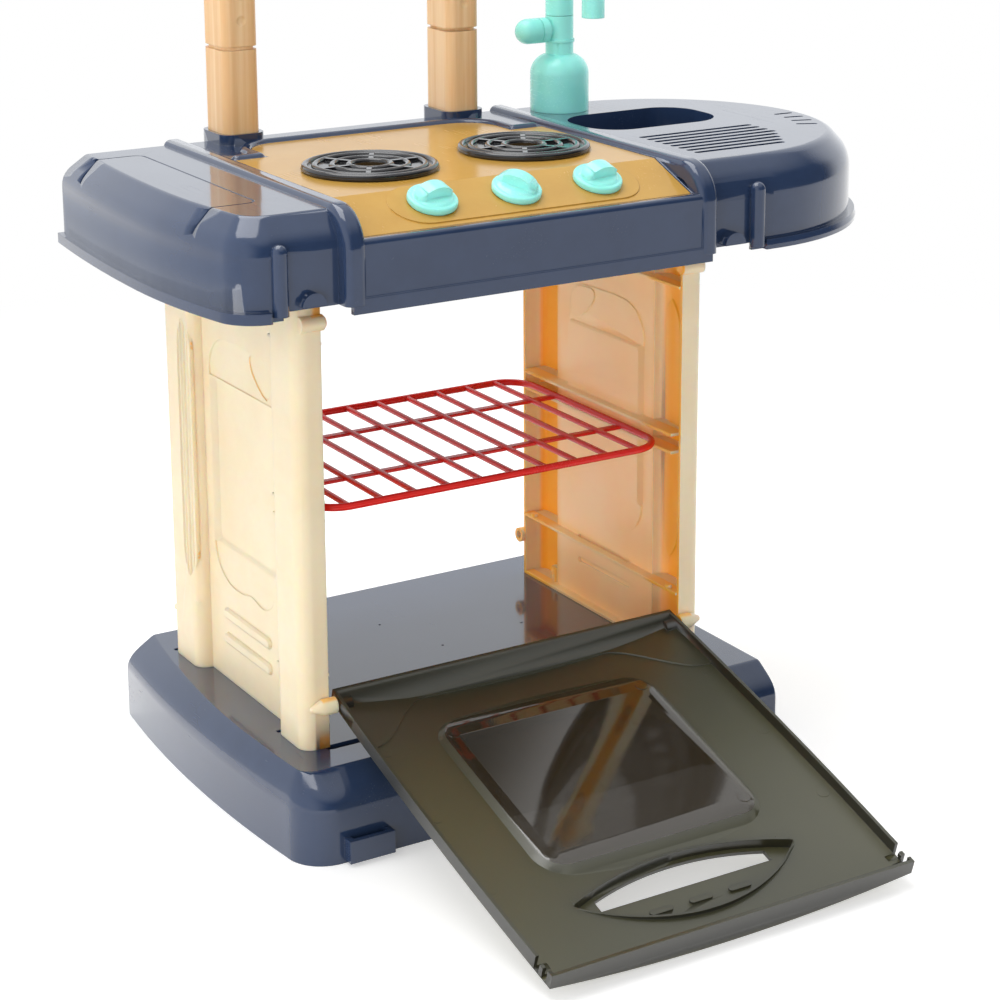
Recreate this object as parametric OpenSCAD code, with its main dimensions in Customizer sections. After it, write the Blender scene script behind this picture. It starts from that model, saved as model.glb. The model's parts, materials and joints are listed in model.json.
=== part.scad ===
// Toy oven with a worktop, hob, sink and utensil rail, at real size in millimetres.
// +Z is up, +X is to the user's right, +Y is to the back. The origin is on the floor,
// midway between the two side walls and midway between their front and rear faces.

/* [Overall] */
// Width over the outer faces of the two side walls
wall_span = 300; // [296:1:304]
// Depth of a side wall from its front face to its rear face
wall_depth = 199; // [197:1:201]
// Height of the worktop's flat upper face above the floor
worktop_z = 400; // [398:1:402]
// Height of the worktop's lower edge above the floor
worktop_low_z = 340; // [339:1:341]

/* [Base] */
// Height of the base's flat upper face
base_z = 54.4; // [54:0.1:55]
// Height at which the base's upright skirt turns into its slope
skirt_z = 41.6; // [36:0.1:46]
// Half of the base's greatest width
base_half = 180.6; // [178:0.1:184]
// Y of the skirt's front face
base_front_y = -146.8; // [-150:0.1:-144]
// Y of the rear face of base and skirt
base_rear_y = 131; // [129:0.5:133]

/* [Walls of the shells] */
// Wall thickness of the base and the worktop
shell = 2.8; // [2.4:0.1:3.2]
// Wall thickness of the side walls
skin = 2.2; // [2:0.1:2.4]

/* [Door] */
// Length of the door from its near rim edge to its far rim edge
door_length = 267.2; // [264:0.1:267.5]
// Half of the door's width at its two ends
door_half = 127.5; // [126:0.1:127.8]
// How far the open door slopes down to the floor
door_tilt = 16.14; // [15:0.01:16.14]
// Height of the door's hinge axis
hinge_z = 83.4; // [82:0.1:85]
// Y of the door's hinge axis
hinge_y = -102.8; // [-103:0.1:-102.6]
// Radius of the door's stub pins
pin_r = 3; // [2.6:0.1:3.2]

/* [Rack] */
// Half of the rack's width
rack_half = 131.3; // [131:0.1:131.4]
// Y of the rack's front edge
rack_front_y = -88; // [-90:1:-84]
// Y of the rack's rear edge
rack_rear_y = 104; // [100:1:108]
// Distance from one rack bar to the next
rack_pitch = 24; // [22:1:26]

/* [Hob and knobs] */
// Slope of the control panel
panel_slope = 21.3; // [20:0.1:22]
// Distance from one knob to the next
knob_pitch = 59.5; // [56:0.5:62]
// Radius of a knob's flange
knob_r = 15.8; // [15:0.1:16.5]
// Outer radius of a burner ring
burner_r = 44; // [40:0.5:45]

/* [Worktop] */
// Outer radius of the round right wing's upright wall
wing_r = 131; // [129:0.5:131]
// X of the centre of the right wing's round end
wing_x = 186; // [184:1:188]
// Width of the slope round the worktop's upper face
bevel = 14; // [12:0.5:16]

/* [Posts and rail] */
// Distance from the middle of the object to the middle of a post
post_x = 85; // [83:1:86]
// Height of the joint between a lower and an upper post
post_joint_z = 465; // [450:1:480]
// Height of the top of the posts
post_top_z = 632; // [600:1:640]
// Height of the utensil rail's middle
rail_z = 606; // [580:1:610]

/* [Tap] */
// X of the tap's column
tap_x = 165; // [164:0.5:167]
// Y of the tap's column
tap_y = 103; // [102:0.5:103]

/* [Hidden] */
$fn = 48;
e = 0.02;
running = 0.05;
gap = 0.3;
navy = [0.17, 0.23, 0.38];
cream = [0.95, 0.90, 0.80];
tan_yellow = [0.84, 0.66, 0.35];
turquoise = [0.43, 0.86, 0.80];
red = [0.84, 0.14, 0.14];
smoke = [0.30, 0.29, 0.25, 0.75];
gloss_black = [0.05, 0.05, 0.06];
steel = [0.70, 0.70, 0.72];

wall_x = wall_span / 2;
wall_half_y = wall_depth / 2;
pillar_inner_x = 132;
panel_x = wall_x - 10;
front_pillar_y = -60;
rear_pillar_y = 57;
wall_low_z = base_z;
wall_top_z = worktop_low_z + 8;
peg_z = 328;

// ---------------------------------------------------------------- shared shapes

// A rectangle with round corners, centred on the origin
module round_rect(w, d, r) {
  square([w - 2 * r, d], center = true);
  square([w, d - 2 * r], center = true);
  for (x = [-1, 1]) {
    for (y = [-1, 1]) {
      translate([x * (w / 2 - r), y * (d / 2 - r)]) circle(r);
    }
  }
}

// A slot with round ends along X, centred on the origin
module slot(length, width) {
  square([length - width, width], center = true);
  for (x = [-1, 1]) {
    translate([x * (length - width) / 2, 0]) circle(width / 2);
  }
}

// Turns a profile drawn as (Y, Z) into a bar along X from x0 to x1
module along_x(x0, x1) {
  translate([x0, 0, 0]) rotate([90, 0, 90]) linear_extrude(x1 - x0) children();
}

// Turns a profile drawn as (X, Z) into a bar along Y from y0 to y1
module along_y(y0, y1) {
  translate([0, y1, 0]) rotate([90, 0, 0]) linear_extrude(y1 - y0) children();
}

// The shape and its mirror image on the other side
module mirror_copy_x() {
  children();
  mirror([1, 0, 0]) children();
}

// Distance from the middle plane to a side that bows out to half at y0
function bow(y, half, y0, radius) = half - (y - y0) * (y - y0) / (2 * radius);

// Points of a rounding from p0 to p2 with its sharp corner at p1
function rounding(p0, p1, p2, n) =
  [for (i = [0:n]) let (s = i / n) (1 - s) * (1 - s) * p0 + 2 * s * (1 - s) * p1 + s * s * p2];

// Profile of a shell's crown: wall, soft crease at a, slope, tighter crease at b, flat top
function crown(a, b, low_z, low_part, high_part, flat) = concat(
  rounding([a[0], a[1] - low_z], a, a + (b - a) * low_part, 5),
  rounding(b - (b - a) * high_part, b, [b[0] + flat, b[1]], 3));

// Solid through outlines that lie one above the other, each with the same number of points,
// turning anticlockwise
module loft(rings) {
  n = len(rings[0]);
  top = (len(rings) - 1) * n;
  polyhedron(
    points = [for (ring = rings) each ring],
    faces = concat(
      [[for (k = [0:n - 1]) k], [for (k = [n - 1:-1:0]) top + k]],
      [for (i = [0:len(rings) - 2]) for (k = [0:n - 1])
        let (a = i * n + k, b = i * n + (k + 1) % n) each [[a, a + n, b + n], [a, b + n, b]]]));
}

// ---------------------------------------------------------------- base

base_corner_r = 25;
base_high_corner_r = 11;
base_high_half = 168;
base_high_front_y = -126.7;
low_bow = [-5, 1075];
high_bow = [-40, 914];
side_steps = 18;
corner_steps = 12;

// The right half of a base outline: a bowed side and a rounded front corner
function base_side(half, bowing, front, rear, r) =
  let (y1 = front + r, x1 = bow(y1, half, bowing[0], bowing[1]))
  concat(
    [for (i = [0:side_steps])
      let (y = rear + (y1 - rear) * i / side_steps) [bow(y, half, bowing[0], bowing[1]), y]],
    [for (i = [1:corner_steps])
      let (a = -90 * i / corner_steps) [x1 - r + r * cos(a), y1 + r * sin(a)]]);

// A whole outline from its right half, turning anticlockwise
function both_sides(pts) = concat([for (i = [len(pts) - 1:-1:0]) pts[i]], [for (p = pts) [-p[0], p[1]]]);

function base_low(inset) = both_sides(base_side(base_half - inset, low_bow, base_front_y + inset,
                                                base_rear_y - inset, base_corner_r - inset));

function base_high(inset) = both_sides(base_side(base_high_half - inset, high_bow,
                                                 base_high_front_y + inset, base_rear_y - inset,
                                                 base_high_corner_r - inset));

crease_drop = 8;

// The outline goes over from the low one to the high one as the slope rises
module base_body(inset) {
  low = base_low(inset);
  high = base_high(inset);
  levels = crown([0, skirt_z], [1, base_z - inset], crease_drop, 0.5, 0.12, 0.07);
  linear_extrude(skirt_z - crease_drop) polygon(low);
  loft([for (level = levels)
    [for (i = [0:len(low) - 1])
      let (p = low[i] + (high[i] - low[i]) * level[0]) [p[0], p[1], level[1]]]]);
}

// The walls' tongues go down through these slots in the base
tongue_w = 16;
tongue_t = 7;
tongue_drop = 9;
tongue_x = wall_x - 9;
tongue_ys = [-86, 86];
// A screw beside each tongue holds the wall down on the base
base_screw_ys = [-68, 68];
wall_screw_ys = [-80, 80];
screw_hole_r = 2;
pilot_r = 1.6;
screw_boss_r = 4;

module base_wall_slots(clearance) {
  mirror_copy_x() {
    for (y = tongue_ys) {
      translate([tongue_x - tongue_t / 2 - clearance, y - tongue_w / 2 - clearance, base_z - tongue_drop])
        cube([tongue_t + 2 * clearance, tongue_w + 2 * clearance, 20]);
    }
  }
}

// The drip slot runs across the base just behind the door's hinge line
drip_slot_y = -100.1;
drip_slot_w = 6.6;
drip_slot_half = 135;
// Square pockets under the walls' round corners, seen as small dark notches
foot_notch = 3.4;
foot_notch_ys = [-60, 99.5];
// Small holes in the base's upper face
pin_holes = [[-157, 118], [-9, 64], [10, 8], [78, 15]];
pin_hole_r = 0.9;
rib_t = 2.4;
rib_xs = [-108, -36, 0, 36, 108];
rib_ys = [-60, 0, 60];

module base_ribs() {
  intersection() {
    union() {
      for (x = rib_xs) {
        translate([x - rib_t / 2, base_front_y, 0]) cube([rib_t, base_rear_y - base_front_y, base_z]);
      }
      for (y = rib_ys) {
        translate([-base_half, y - rib_t / 2, 0]) cube([2 * base_half, rib_t, base_z]);
      }
    }
    base_body(1);
  }
}

// Catch on the front of the skirt: a bridge with a slot behind it
catch_x = 132;
catch_w = 31;
catch_t = 8;
catch_low_z = 2.4;
catch_h = 14.6;

module base_catch() {
  translate([catch_x - catch_w / 2, base_front_y - catch_t, catch_low_z]) {
    difference() {
      cube([catch_w, catch_t + 1, catch_h]);
      translate([4, 3.5, -1]) cube([catch_w - 8, catch_t - 3.5, catch_h + 2]);
    }
  }
}

module base_shell() {
  color(navy) {
    difference() {
      union() {
        difference() {
          base_body(0);
          translate([0, 0, -e]) base_body(shell);
        }
        base_ribs();
      }
      base_wall_slots(gap);
      translate([0, drip_slot_y, base_z - 20]) linear_extrude(30) slot(2 * drip_slot_half, drip_slot_w);
      mirror_copy_x() {
        for (y = base_screw_ys) translate([tongue_x, y, base_z - 20]) cylinder(r = screw_hole_r, h = 40);
      }
      for (turn = [0, 180]) {
        rotate([0, 0, turn]) {
          for (y = foot_notch_ys) {
            translate([-wall_x - 0.2, y - foot_notch + 0.2, base_z - 1.6])
              cube([foot_notch, foot_notch, 5]);
          }
        }
      }
      for (p = pin_holes) translate([p[0], p[1], base_z - 1.5]) cylinder(r = pin_hole_r, h = 5, $fn = 24);
    }
    mirror_copy_x() base_catch();
  }
}

// A pan-head screw with its head down at z = 0 and its point up
module screw_up(head_r, shank_r, length) {
  translate([0, 0, -2.2]) {
    difference() {
      cylinder(r = head_r, h = 2.2);
      for (a = [0, 90]) {
        rotate([0, 0, a]) translate([-head_r * 0.6, -0.45, -e]) cube([head_r * 1.2, 0.9, 1.2]);
      }
    }
  }
  cylinder(r = shank_r, h = length);
  translate([0, 0, length]) cylinder(r1 = shank_r, r2 = 0.3, h = 1.6);
}

module base_screws() {
  color(steel) mirror_copy_x() {
    for (y = base_screw_ys) translate([tongue_x, y, base_z - shell - e]) screw_up(3.6, 1.5, 12);
  }
}

// ---------------------------------------------------------------- side walls

// The left wall; the right one is the same moulding turned half round
pillar_corner_r = 9;
window_y = [-45, 47];
window_z = [147, 262];
window_depth = 3.5;
relief_depth = 1;
leaf_depth = 1.9;
bar_zs = [84.5, 102];
bar_w = 7.6;
bar_y = [-36, 33.5];
bar_steps = [[1, 0], [1.6, 0.5], [2, 1.3]];
flute_y = 67;
flute_z = [117, 297];
flute_w = 17;
flute_depth = 1.5;
rail_zs = [200.3, 212.5];
rail_tip_x = 128.5;
rail_t = 2;
rail_y = [-93, 93];
ledge_zs = [101.5, 314];
ledge_tip_x = 130.6;

// Plan outline of one pillar with round outer corners, as far in as x1
module pillar(y0, y1, inset, x1) {
  r = pillar_corner_r - inset;
  x0 = -wall_x + inset;
  translate([x0, y0 + inset + r]) square([x1 - x0, y1 - y0 - 2 * inset - 2 * r]);
  translate([x0 + r, y0 + inset]) square([x1 - x0 - r, y1 - y0 - 2 * inset]);
  for (y = [y0 + inset + r, y1 - inset - r]) translate([x0 + r, y]) circle(r);
}

module wall_outline() {
  pillar(-wall_half_y, front_pillar_y, 0, -pillar_inner_x);
  pillar(rear_pillar_y, wall_half_y, 0, -pillar_inner_x);
  translate([-panel_x, front_pillar_y - 1])
    square([panel_x - pillar_inner_x, rear_pillar_y - front_pillar_y + 2]);
}

module wall_hollow() {
  clear_y = wall_half_y - pillar_corner_r;
  pillar(-wall_half_y, front_pillar_y, skin, 0);
  pillar(rear_pillar_y, wall_half_y, skin, 0);
  translate([-panel_x + skin, -clear_y]) square([panel_x, 2 * clear_y]);
}

// The arched field above the window, the leaf in its front corner and the bowl below the
// window, drawn as (Y, Z)
module arch_relief() {
  polygon([[47.5, 262], [47.7, 269], [46.4, 274.2], [43.7, 278.6], [39.6, 283.2], [35, 286.6],
           [29.6, 288.9], [22, 290.1], [8.6, 290.6], [-16.2, 290.2], [-28, 289.6], [-34.5, 288.4],
           [-38.5, 286.2], [-41.4, 282.6], [-43.5, 276.9], [-44.6, 270], [-45, 262]]);
}

module leaf_relief() {
  polygon([[-15.5, 289.2], [-12.6, 287.2], [-12.2, 283.6], [-15.4, 277.5], [-22.6, 270.8],
           [-30.4, 265.8], [-36.6, 264.2], [-40.8, 268.2], [-42.4, 276], [-40.6, 281.6],
           [-37.6, 285.2], [-33, 287.6], [-26, 288.8]]);
}

module bowl_relief() {
  polygon([[47, 148], [46.3, 144], [44.6, 138.4], [42, 133.8], [38.5, 129.8], [33.4, 126.2],
           [27.1, 123.6], [21, 122.4], [15.3, 122], [9.6, 122], [4.6, 122.5], [0.8, 123.5],
           [-2.3, 124.5], [-6.6, 125], [-11.8, 124.3], [-16.4, 122.9], [-21.1, 122], [-25.4, 122],
           [-28.7, 122.9], [-33, 124.6], [-37.5, 127.8], [-41.2, 132.4], [-43.8, 138.6],
           [-45, 148]]);
}

module bar_relief(inset) {
  for (z = bar_zs) {
    translate([(bar_y[0] + bar_y[1]) / 2, z]) slot(bar_y[1] - bar_y[0] - 2 * inset, bar_w - 2 * inset);
  }
}

// A straight-sided groove whose two ends are pointed arches
module flute_outline(inset) {
  w = flute_w - 2 * inset;
  low = flute_z[0] + inset;
  high = flute_z[1] - inset;
  point = 22;
  arc_r = (point * point + w * w / 4) / w;
  translate([flute_y - w / 2, low + point]) square([w, high - low - 2 * point]);
  for (end = [[low + point, -1], [high - point, 1]]) {
    translate([0, end[0]]) mirror([0, end[1] < 0 ? 1 : 0]) {
      intersection() {
        translate([flute_y - w / 2, -e]) square([w, point + 1]);
        translate([flute_y - w / 2 + arc_r, 0]) circle(arc_r);
        translate([flute_y + w / 2 - arc_r, 0]) circle(arc_r);
      }
    }
  }
}

module window_outline(grow) {
  translate([(window_y[0] + window_y[1]) / 2, (window_z[0] + window_z[1]) / 2])
    round_rect(window_y[1] - window_y[0] + 2 * grow, window_z[1] - window_z[0] + 2 * grow, 4 + grow / 2);
}

// The window's pocket narrows as it goes in
module window_pocket(x0, x1, grow) {
  hull() {
    along_x(x0, x0 + e) window_outline(grow, $fn = 32);
    along_x(x1 - e, x1) window_outline(grow - window_depth, $fn = 32);
  }
}

// Hinge boss and snap peg on a front or rear edge of the wall
boss_r = 5.25;
boss_tip_x = 146;
boss_inner_x = 129.5;
boss_cylinder = 8.5;
peg_r = 5;
peg_y = wall_half_y;

module hinge_boss() {
  translate([-boss_inner_x, hinge_y, hinge_z]) rotate([0, -90, 0]) {
    cylinder(r = boss_r, h = boss_cylinder);
    translate([0, 0, boss_cylinder])
      cylinder(r1 = boss_r, r2 = 1.8, h = boss_tip_x - boss_inner_x - boss_cylinder);
    translate([0, 0, boss_tip_x - boss_inner_x - 1]) sphere(1.9);
  }
}

module snap_peg() {
  translate([-boss_inner_x - 1.5, -peg_y, peg_z]) {
    rotate([0, -90, 0]) cylinder(r = peg_r, h = 15.5);
    rotate([0, 90, 0]) cylinder(r1 = peg_r, r2 = peg_r - 1.5, h = 1.5);
  }
}

module wall_ledge(z, tip_x, y0, y1, t) {
  translate([-panel_x + 0.5, y0, z - t / 2]) cube([panel_x - 0.5 - tip_x, y1 - y0, t]);
}

module side_wall() {
  difference() {
    union() {
      difference() {
        translate([0, 0, wall_low_z]) linear_extrude(wall_top_z - wall_low_z) wall_outline();
        translate([0, 0, wall_low_z + skin])
          linear_extrude(wall_top_z - wall_low_z - 2 * skin) wall_hollow();
      }
      // inner side of the window, the arch, the bowl and the flute
      window_pocket(-panel_x + 0.4, -panel_x + window_depth + skin, 1.6);
      along_x(-panel_x + 0.4, -panel_x + relief_depth + skin) arch_relief();
      along_x(-panel_x + 0.4, -panel_x + leaf_depth + skin) leaf_relief();
      along_x(-panel_x + 0.4, -panel_x + relief_depth + skin) bowl_relief();
      along_x(-wall_x + 1, -wall_x + flute_depth + skin) flute_outline(-1);
      // raised bars low on the panel, hollow behind
      for (step = bar_steps) along_x(-panel_x - step[0], -panel_x + 1) bar_relief(step[1]);
      // ledges across the inside; the rack runs between the middle two
      for (z = rail_zs) wall_ledge(z, rail_tip_x, rail_y[0], rail_y[1], rail_t);
      for (z = ledge_zs) wall_ledge(z, ledge_tip_x, -wall_half_y + 2, wall_half_y - 2, 1.8);
      // the ledges reach into the hollow pillars
      for (z = concat(rail_zs, ledge_zs)) {
        for (y = [-wall_half_y + 5, rear_pillar_y + 1]) {
          translate([-wall_x + 1, y, z - 0.9]) cube([wall_x - panel_x + 6, 33, 1.8]);
        }
      }
      // nubs near the ends of the lowest ledge
      for (y = [-86, 86]) {
        translate([-ledge_tip_x - 2.4, y, ledge_zs[0]]) cylinder(r = 2.4, h = 3);
      }
      // bosses and pegs, the same on both edges
      for (turn = [0, 1]) {
        mirror([0, turn, 0]) {
          hinge_boss();
          snap_peg();
        }
      }
      // tongues that plug into the base
      for (y = tongue_ys) {
        translate([-tongue_x - tongue_t / 2, y - tongue_w / 2, wall_low_z - tongue_drop])
          cube([tongue_t, tongue_w, tongue_drop + 2]);
      }
      // bosses for the screws that come up through the base
      for (y = base_screw_ys) {
        translate([-tongue_x, y, wall_low_z + 1]) cylinder(r = screw_boss_r, h = 12);
      }
    }
    window_pocket(-panel_x - e, -panel_x + window_depth, 0);
    along_x(-panel_x - e, -panel_x + relief_depth) arch_relief();
    along_x(-panel_x - e, -panel_x + leaf_depth) leaf_relief();
    along_x(-panel_x - e, -panel_x + relief_depth) bowl_relief();
    along_x(-panel_x + 0.2, -panel_x + skin + 1) bar_relief(1.8);
    along_x(-wall_x - e, -wall_x + flute_depth) difference() {
      flute_outline(0);
      for (i = [-1, 0, 1]) {
        translate([flute_y + 4.2 * i - 0.6, flute_z[0]]) square([1.2, flute_z[1] - flute_z[0]]);
      }
    }
    for (turn = [0, 1]) {
      mirror([0, turn, 0]) translate([-boss_inner_x + e, hinge_y, hinge_z]) rotate([0, -90, 0])
        cylinder(r = pin_r + running, h = 10);
    }
    for (y = base_screw_ys) translate([-tongue_x, y, wall_low_z - 1]) cylinder(r = pilot_r, h = 13);
    for (y = wall_screw_ys) translate([-tongue_x, y, wall_top_z - 6]) cylinder(r = screw_hole_r, h = 12);
  }
}

module left_wall() {
  color(cream) side_wall();
}

module right_wall() {
  color(cream) rotate([0, 0, 180]) side_wall();
}

// ---------------------------------------------------------------- rack

rack_wire_r = 2.4;
rack_corner_r = 25;
rack_z = rail_zs[0] + rail_t / 2 + gap + rack_wire_r;
rack_bar_count = 10;
rack_cross_ys = [-32, 53];

module rack_frame() {
  x = rack_half - rack_wire_r;
  y0 = rack_front_y + rack_wire_r;
  y1 = rack_rear_y - rack_wire_r;
  r = rack_corner_r;
  for (y = [y0, y1]) {
    translate([-x + r, y, rack_z]) rotate([0, 90, 0]) cylinder(r = rack_wire_r, h = 2 * (x - r));
  }
  for (s = [-1, 1]) {
    translate([s * x, y1 - r, rack_z]) rotate([90, 0, 0]) cylinder(r = rack_wire_r, h = y1 - y0 - 2 * r);
    translate([s * (x - r), y0 + r, rack_z]) rotate([0, 0, s > 0 ? -90 : 180])
      rotate_extrude(angle = 90) translate([r, 0]) circle(rack_wire_r);
    translate([s * (x - r), y1 - r, rack_z]) rotate([0, 0, s > 0 ? 0 : 90])
      rotate_extrude(angle = 90) translate([r, 0]) circle(rack_wire_r);
  }
}

module oven_rack() {
  color(red) {
    rack_frame();
    for (i = [0:rack_bar_count - 1]) {
      x = (i - (rack_bar_count - 1) / 2) * rack_pitch;
      // the outermost bars end on the frame's round corners
      short = abs(x) > rack_half - rack_corner_r ? 2 : 0;
      length = rack_rear_y - rack_front_y - 2 * rack_wire_r - 2 * short;
      translate([x - 1.7, rack_front_y + rack_wire_r + short, rack_z - 1.6]) cube([3.4, length, 3.4]);
    }
    for (y = rack_cross_ys) {
      translate([-rack_half + rack_wire_r, y - 3, rack_z - rack_wire_r])
        cube([2 * (rack_half - rack_wire_r), 6, 2.2]);
    }
  }
}

// ---------------------------------------------------------------- door

// Drawn flat with the hinge axis through the origin, the far end towards -Y and the
// rim, which is the door's inner side, upwards; then laid down onto the floor
rim_z = 7;
near_y = 9.7;
far_y = near_y - door_length;
door_mid_half = 130;
door_side_r = 3540;
door_low_mid_z = -10;
door_face_r = 1028;
door_skin = 2.2;
pane_half = 78;
pane_y = [-176.3, -34.3];
// The moulded sheet sits this far off the hinge axis, as (Y, Z)
sheet_off = [-0.61, -2.11];
pane_z = -1.6;
pane_corner_r = 18;
lens_half = 82;
lens_tip_y = -203.3;
lens_high_y = -185.3;
lens_low_y = -235.3;
lens_drop = 5;
slot_half = 61;
slot_low_y = -208.3;
grip_bar_y = -221.3;
pin_reach_x = 137.5;

module laid_down() {
  translate([0, hinge_y, hinge_z]) rotate([door_tilt, 0, 0]) children();
}

module on_sheet() {
  translate([0, sheet_off[0], sheet_off[1]]) children();
}

// Plan outline of the door with its slightly bowed sides
module door_outline(inset) {
  mid_y = (near_y + far_y) / 2;
  intersection() {
    translate([-door_mid_half, far_y + inset]) square([2 * door_mid_half, door_length - 2 * inset]);
    translate([door_side_r - door_mid_half + inset, mid_y]) circle(door_side_r, $fn = 1440);
    translate([-door_side_r + door_mid_half - inset, mid_y]) circle(door_side_r, $fn = 1440);
  }
}

// Everything above the curved face that lies lift above the door's outer face
module above_face(lift, high_z) {
  centre_z = door_low_mid_z + door_face_r;
  along_y(far_y - 5, near_y + 5) intersection() {
    translate([-door_mid_half - 5, door_low_mid_z - 10])
      square([2 * door_mid_half + 10, high_z - door_low_mid_z + 10]);
    translate([0, centre_z]) circle(door_face_r - lift, $fn = 1440);
  }
}

// A lens between two arcs through the same two tips, grown or shrunk evenly
module lens(half, tip_y, high_y, low_y, grow) {
  up = high_y - tip_y;
  down = tip_y - low_y;
  up_r = (half * half + up * up) / (2 * up);
  down_r = (half * half + down * down) / (2 * down);
  intersection() {
    translate([0, high_y - up_r]) circle(up_r + grow, $fn = 240);
    translate([0, low_y + down_r]) circle(down_r + grow, $fn = 240);
  }
}

module pane_outline(grow) {
  translate([0, (pane_y[0] + pane_y[1]) / 2])
    round_rect(2 * (pane_half + grow), pane_y[1] - pane_y[0] + 2 * grow, pane_corner_r + grow);
}

module grip_slot() {
  intersection() {
    translate([-slot_half, slot_low_y]) square([2 * slot_half, 40]);
    lens(lens_half, lens_tip_y, lens_high_y, lens_low_y, -4.5);
  }
}

// Arched step near the hinge, its ends swept out to the sides: the field inside it lies lower
step_y = -3.8;
step_x = [66, 126];
step_sweep = 40;
step_points = 24;

function eased(t) = t * t * (3 - 2 * t);

module near_step() {
  side = [for (i = [0:step_points])
    let (t = i / step_points) [step_x[0] + (step_x[1] - step_x[0]) * t, step_y - step_sweep * eased(t)]];
  half = concat(side, [[door_mid_half + 1, step_y - step_sweep], [door_mid_half + 1, near_y]]);
  polygon(concat(half, [for (i = [len(half) - 1:-1:0]) [-half[i][0], half[i][1]]]));
}

// Round marks left by the ejector pins, as (distance from the middle, Y)
pad_r = 4.2;
pad_h = 0.35;
field_pads = [[120, -1.4], [120, -49], [120, -113], [120, -178], [60, 1], [0, 1.2], [74, -199]];
pane_pads = [[70, -46], [70, -163]];

module pad_spots(spots) {
  for (p = spots) {
    for (s = [-1, 1]) translate([s * p[0], p[1]]) circle(pad_r);
  }
}

// A notch and a hooked finger in each side wall hold the closed door on the pegs
notch_y = [-253, -240.6];
notch_low_z = -1.6;
finger_w = 3;
finger_in = 4.6;
finger_h = 7.6;

module side_notch() {
  translate([door_half - 8, notch_y[0], notch_low_z]) {
    difference() {
      cube([16, notch_y[1] - notch_y[0], 20]);
      translate([-1, finger_in, -1]) cube([20, finger_w, finger_h]);
    }
  }
}

// The field's inner face lies lift above the thin sheet's own face
module field_layer(low, high) {
  difference() {
    above_face(low, rim_z);
    above_face(high, rim_z + 5);
  }
}

module door_sheet() {
  difference() {
    union() {
      // tray: a curved sheet with upright side walls
      difference() {
        intersection() {
          translate([0, 0, -20]) linear_extrude(20 + rim_z) door_outline(0);
          above_face(0, rim_z);
        }
        intersection() {
          translate([0, 0, -20]) linear_extrude(40) door_outline(door_skin);
          above_face(door_skin, rim_z + 5);
        }
      }
      // arched step and the sloped near end
      intersection() {
        translate([0, 0, -20]) linear_extrude(40) near_step();
        translate([0, 0, -20]) linear_extrude(40) door_outline(1);
        field_layer(1, door_skin + 1);
      }
      intersection() {
        along_x(-door_mid_half, door_mid_half) polygon([[near_y - 1, rim_z], [near_y - 3.2, rim_z],
          [near_y - 12.5, -4], [near_y - 12.5, -8.5], [near_y - 1, -8.5]]);
        translate([0, 0, -20]) linear_extrude(40) door_outline(1);
        above_face(1, rim_z + 1);
      }
      // raised window pane with its sloped frame and the frame's soft foot
      intersection() {
        union() {
          hull() {
            translate([0, 0, pane_z - 0.1]) linear_extrude(0.1) pane_outline(0, $fn = 32);
            translate([0, 0, -6]) linear_extrude(0.1) pane_outline(4.5, $fn = 32);
          }
          hull() {
            translate([0, 0, -5.6]) linear_extrude(0.1) pane_outline(4, $fn = 32);
            translate([0, 0, -8.3]) linear_extrude(0.1) pane_outline(11, $fn = 32);
          }
        }
        above_face(1, rim_z);
      }
      // the handle's bulge
      translate([0, 0, -8 - lens_drop - 0.6]) linear_extrude(8.8)
        lens(lens_half, lens_tip_y, lens_high_y, lens_low_y, 0);
      // marks of the ejector pins
      intersection() {
        translate([0, 0, -20]) linear_extrude(40) intersection() {
          pad_spots(field_pads);
          door_outline(1);
        }
        field_layer(1, door_skin + pad_h);
      }
      translate([0, 0, pane_z - 1]) linear_extrude(1 + pad_h) pad_spots(pane_pads);
      // hook that springs over the peg
      mirror_copy_x() {
        translate([door_half - 2.4, notch_y[0] + finger_in, 2]) cube([2.6, finger_w, 2.2]);
      }
    }
    // hollow behind the pane
    hull() {
      translate([0, 0, pane_z - door_skin - 0.1]) linear_extrude(0.1) pane_outline(-1.2, $fn = 32);
      translate([0, 0, -14]) linear_extrude(0.1) pane_outline(8.4, $fn = 32);
    }
    // pocket of the handle and the slot for the fingers
    translate([0, 0, -8 - lens_drop + 1.8]) linear_extrude(20)
      lens(lens_half, lens_tip_y, lens_high_y, lens_low_y, -1.6);
    translate([0, 0, -20]) linear_extrude(40) grip_slot();
    mirror_copy_x() side_notch();
  }
  // three raised bars on the grip
  for (x = [-28, 0, 28]) {
    translate([x, grip_bar_y, -8 - lens_drop + 1]) linear_extrude(2.4) slot(16, 4);
  }
}

module oven_door() {
  color(smoke) laid_down() {
    on_sheet() door_sheet();
    // stub pins and their bosses
    mirror_copy_x() {
      translate([door_half - 1.5, 0, 0]) rotate([0, 90, 0])
        cylinder(r = pin_r, h = pin_reach_x - door_half + 1.5);
      translate([door_half - 9, 0, -1]) rotate([0, 90, 0]) cylinder(r = 4.2, h = 8.5);
    }
  }
}

// ---------------------------------------------------------------- worktop

rear_y = 138;
wall_crease_z = worktop_z - 14.5;
left_half = 208;
left_rear_bow = 1366;
left_front_bow = 485;
left_bow_y = -10;
left_front_y = -126.5;
left_corner_r = 24;
wing_inner_x = 126;
wing_y = 7;
apron_half = 128.6;
apron_y = -136.2;
strip_z = worktop_low_z + 9;
lip_h = 6.5;
lip_out = 4.6;
rib_x = 171;
ridge_x = 126;
ridge_w = 14;
ridge_top_z = worktop_z + 3.5;
ridge_front_y = -138;
ridge_r = 26;
ridge_t = 12;
panel_bottom_z = 345;
hob_front_y = -128;
slope_top_y = -87;
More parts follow.
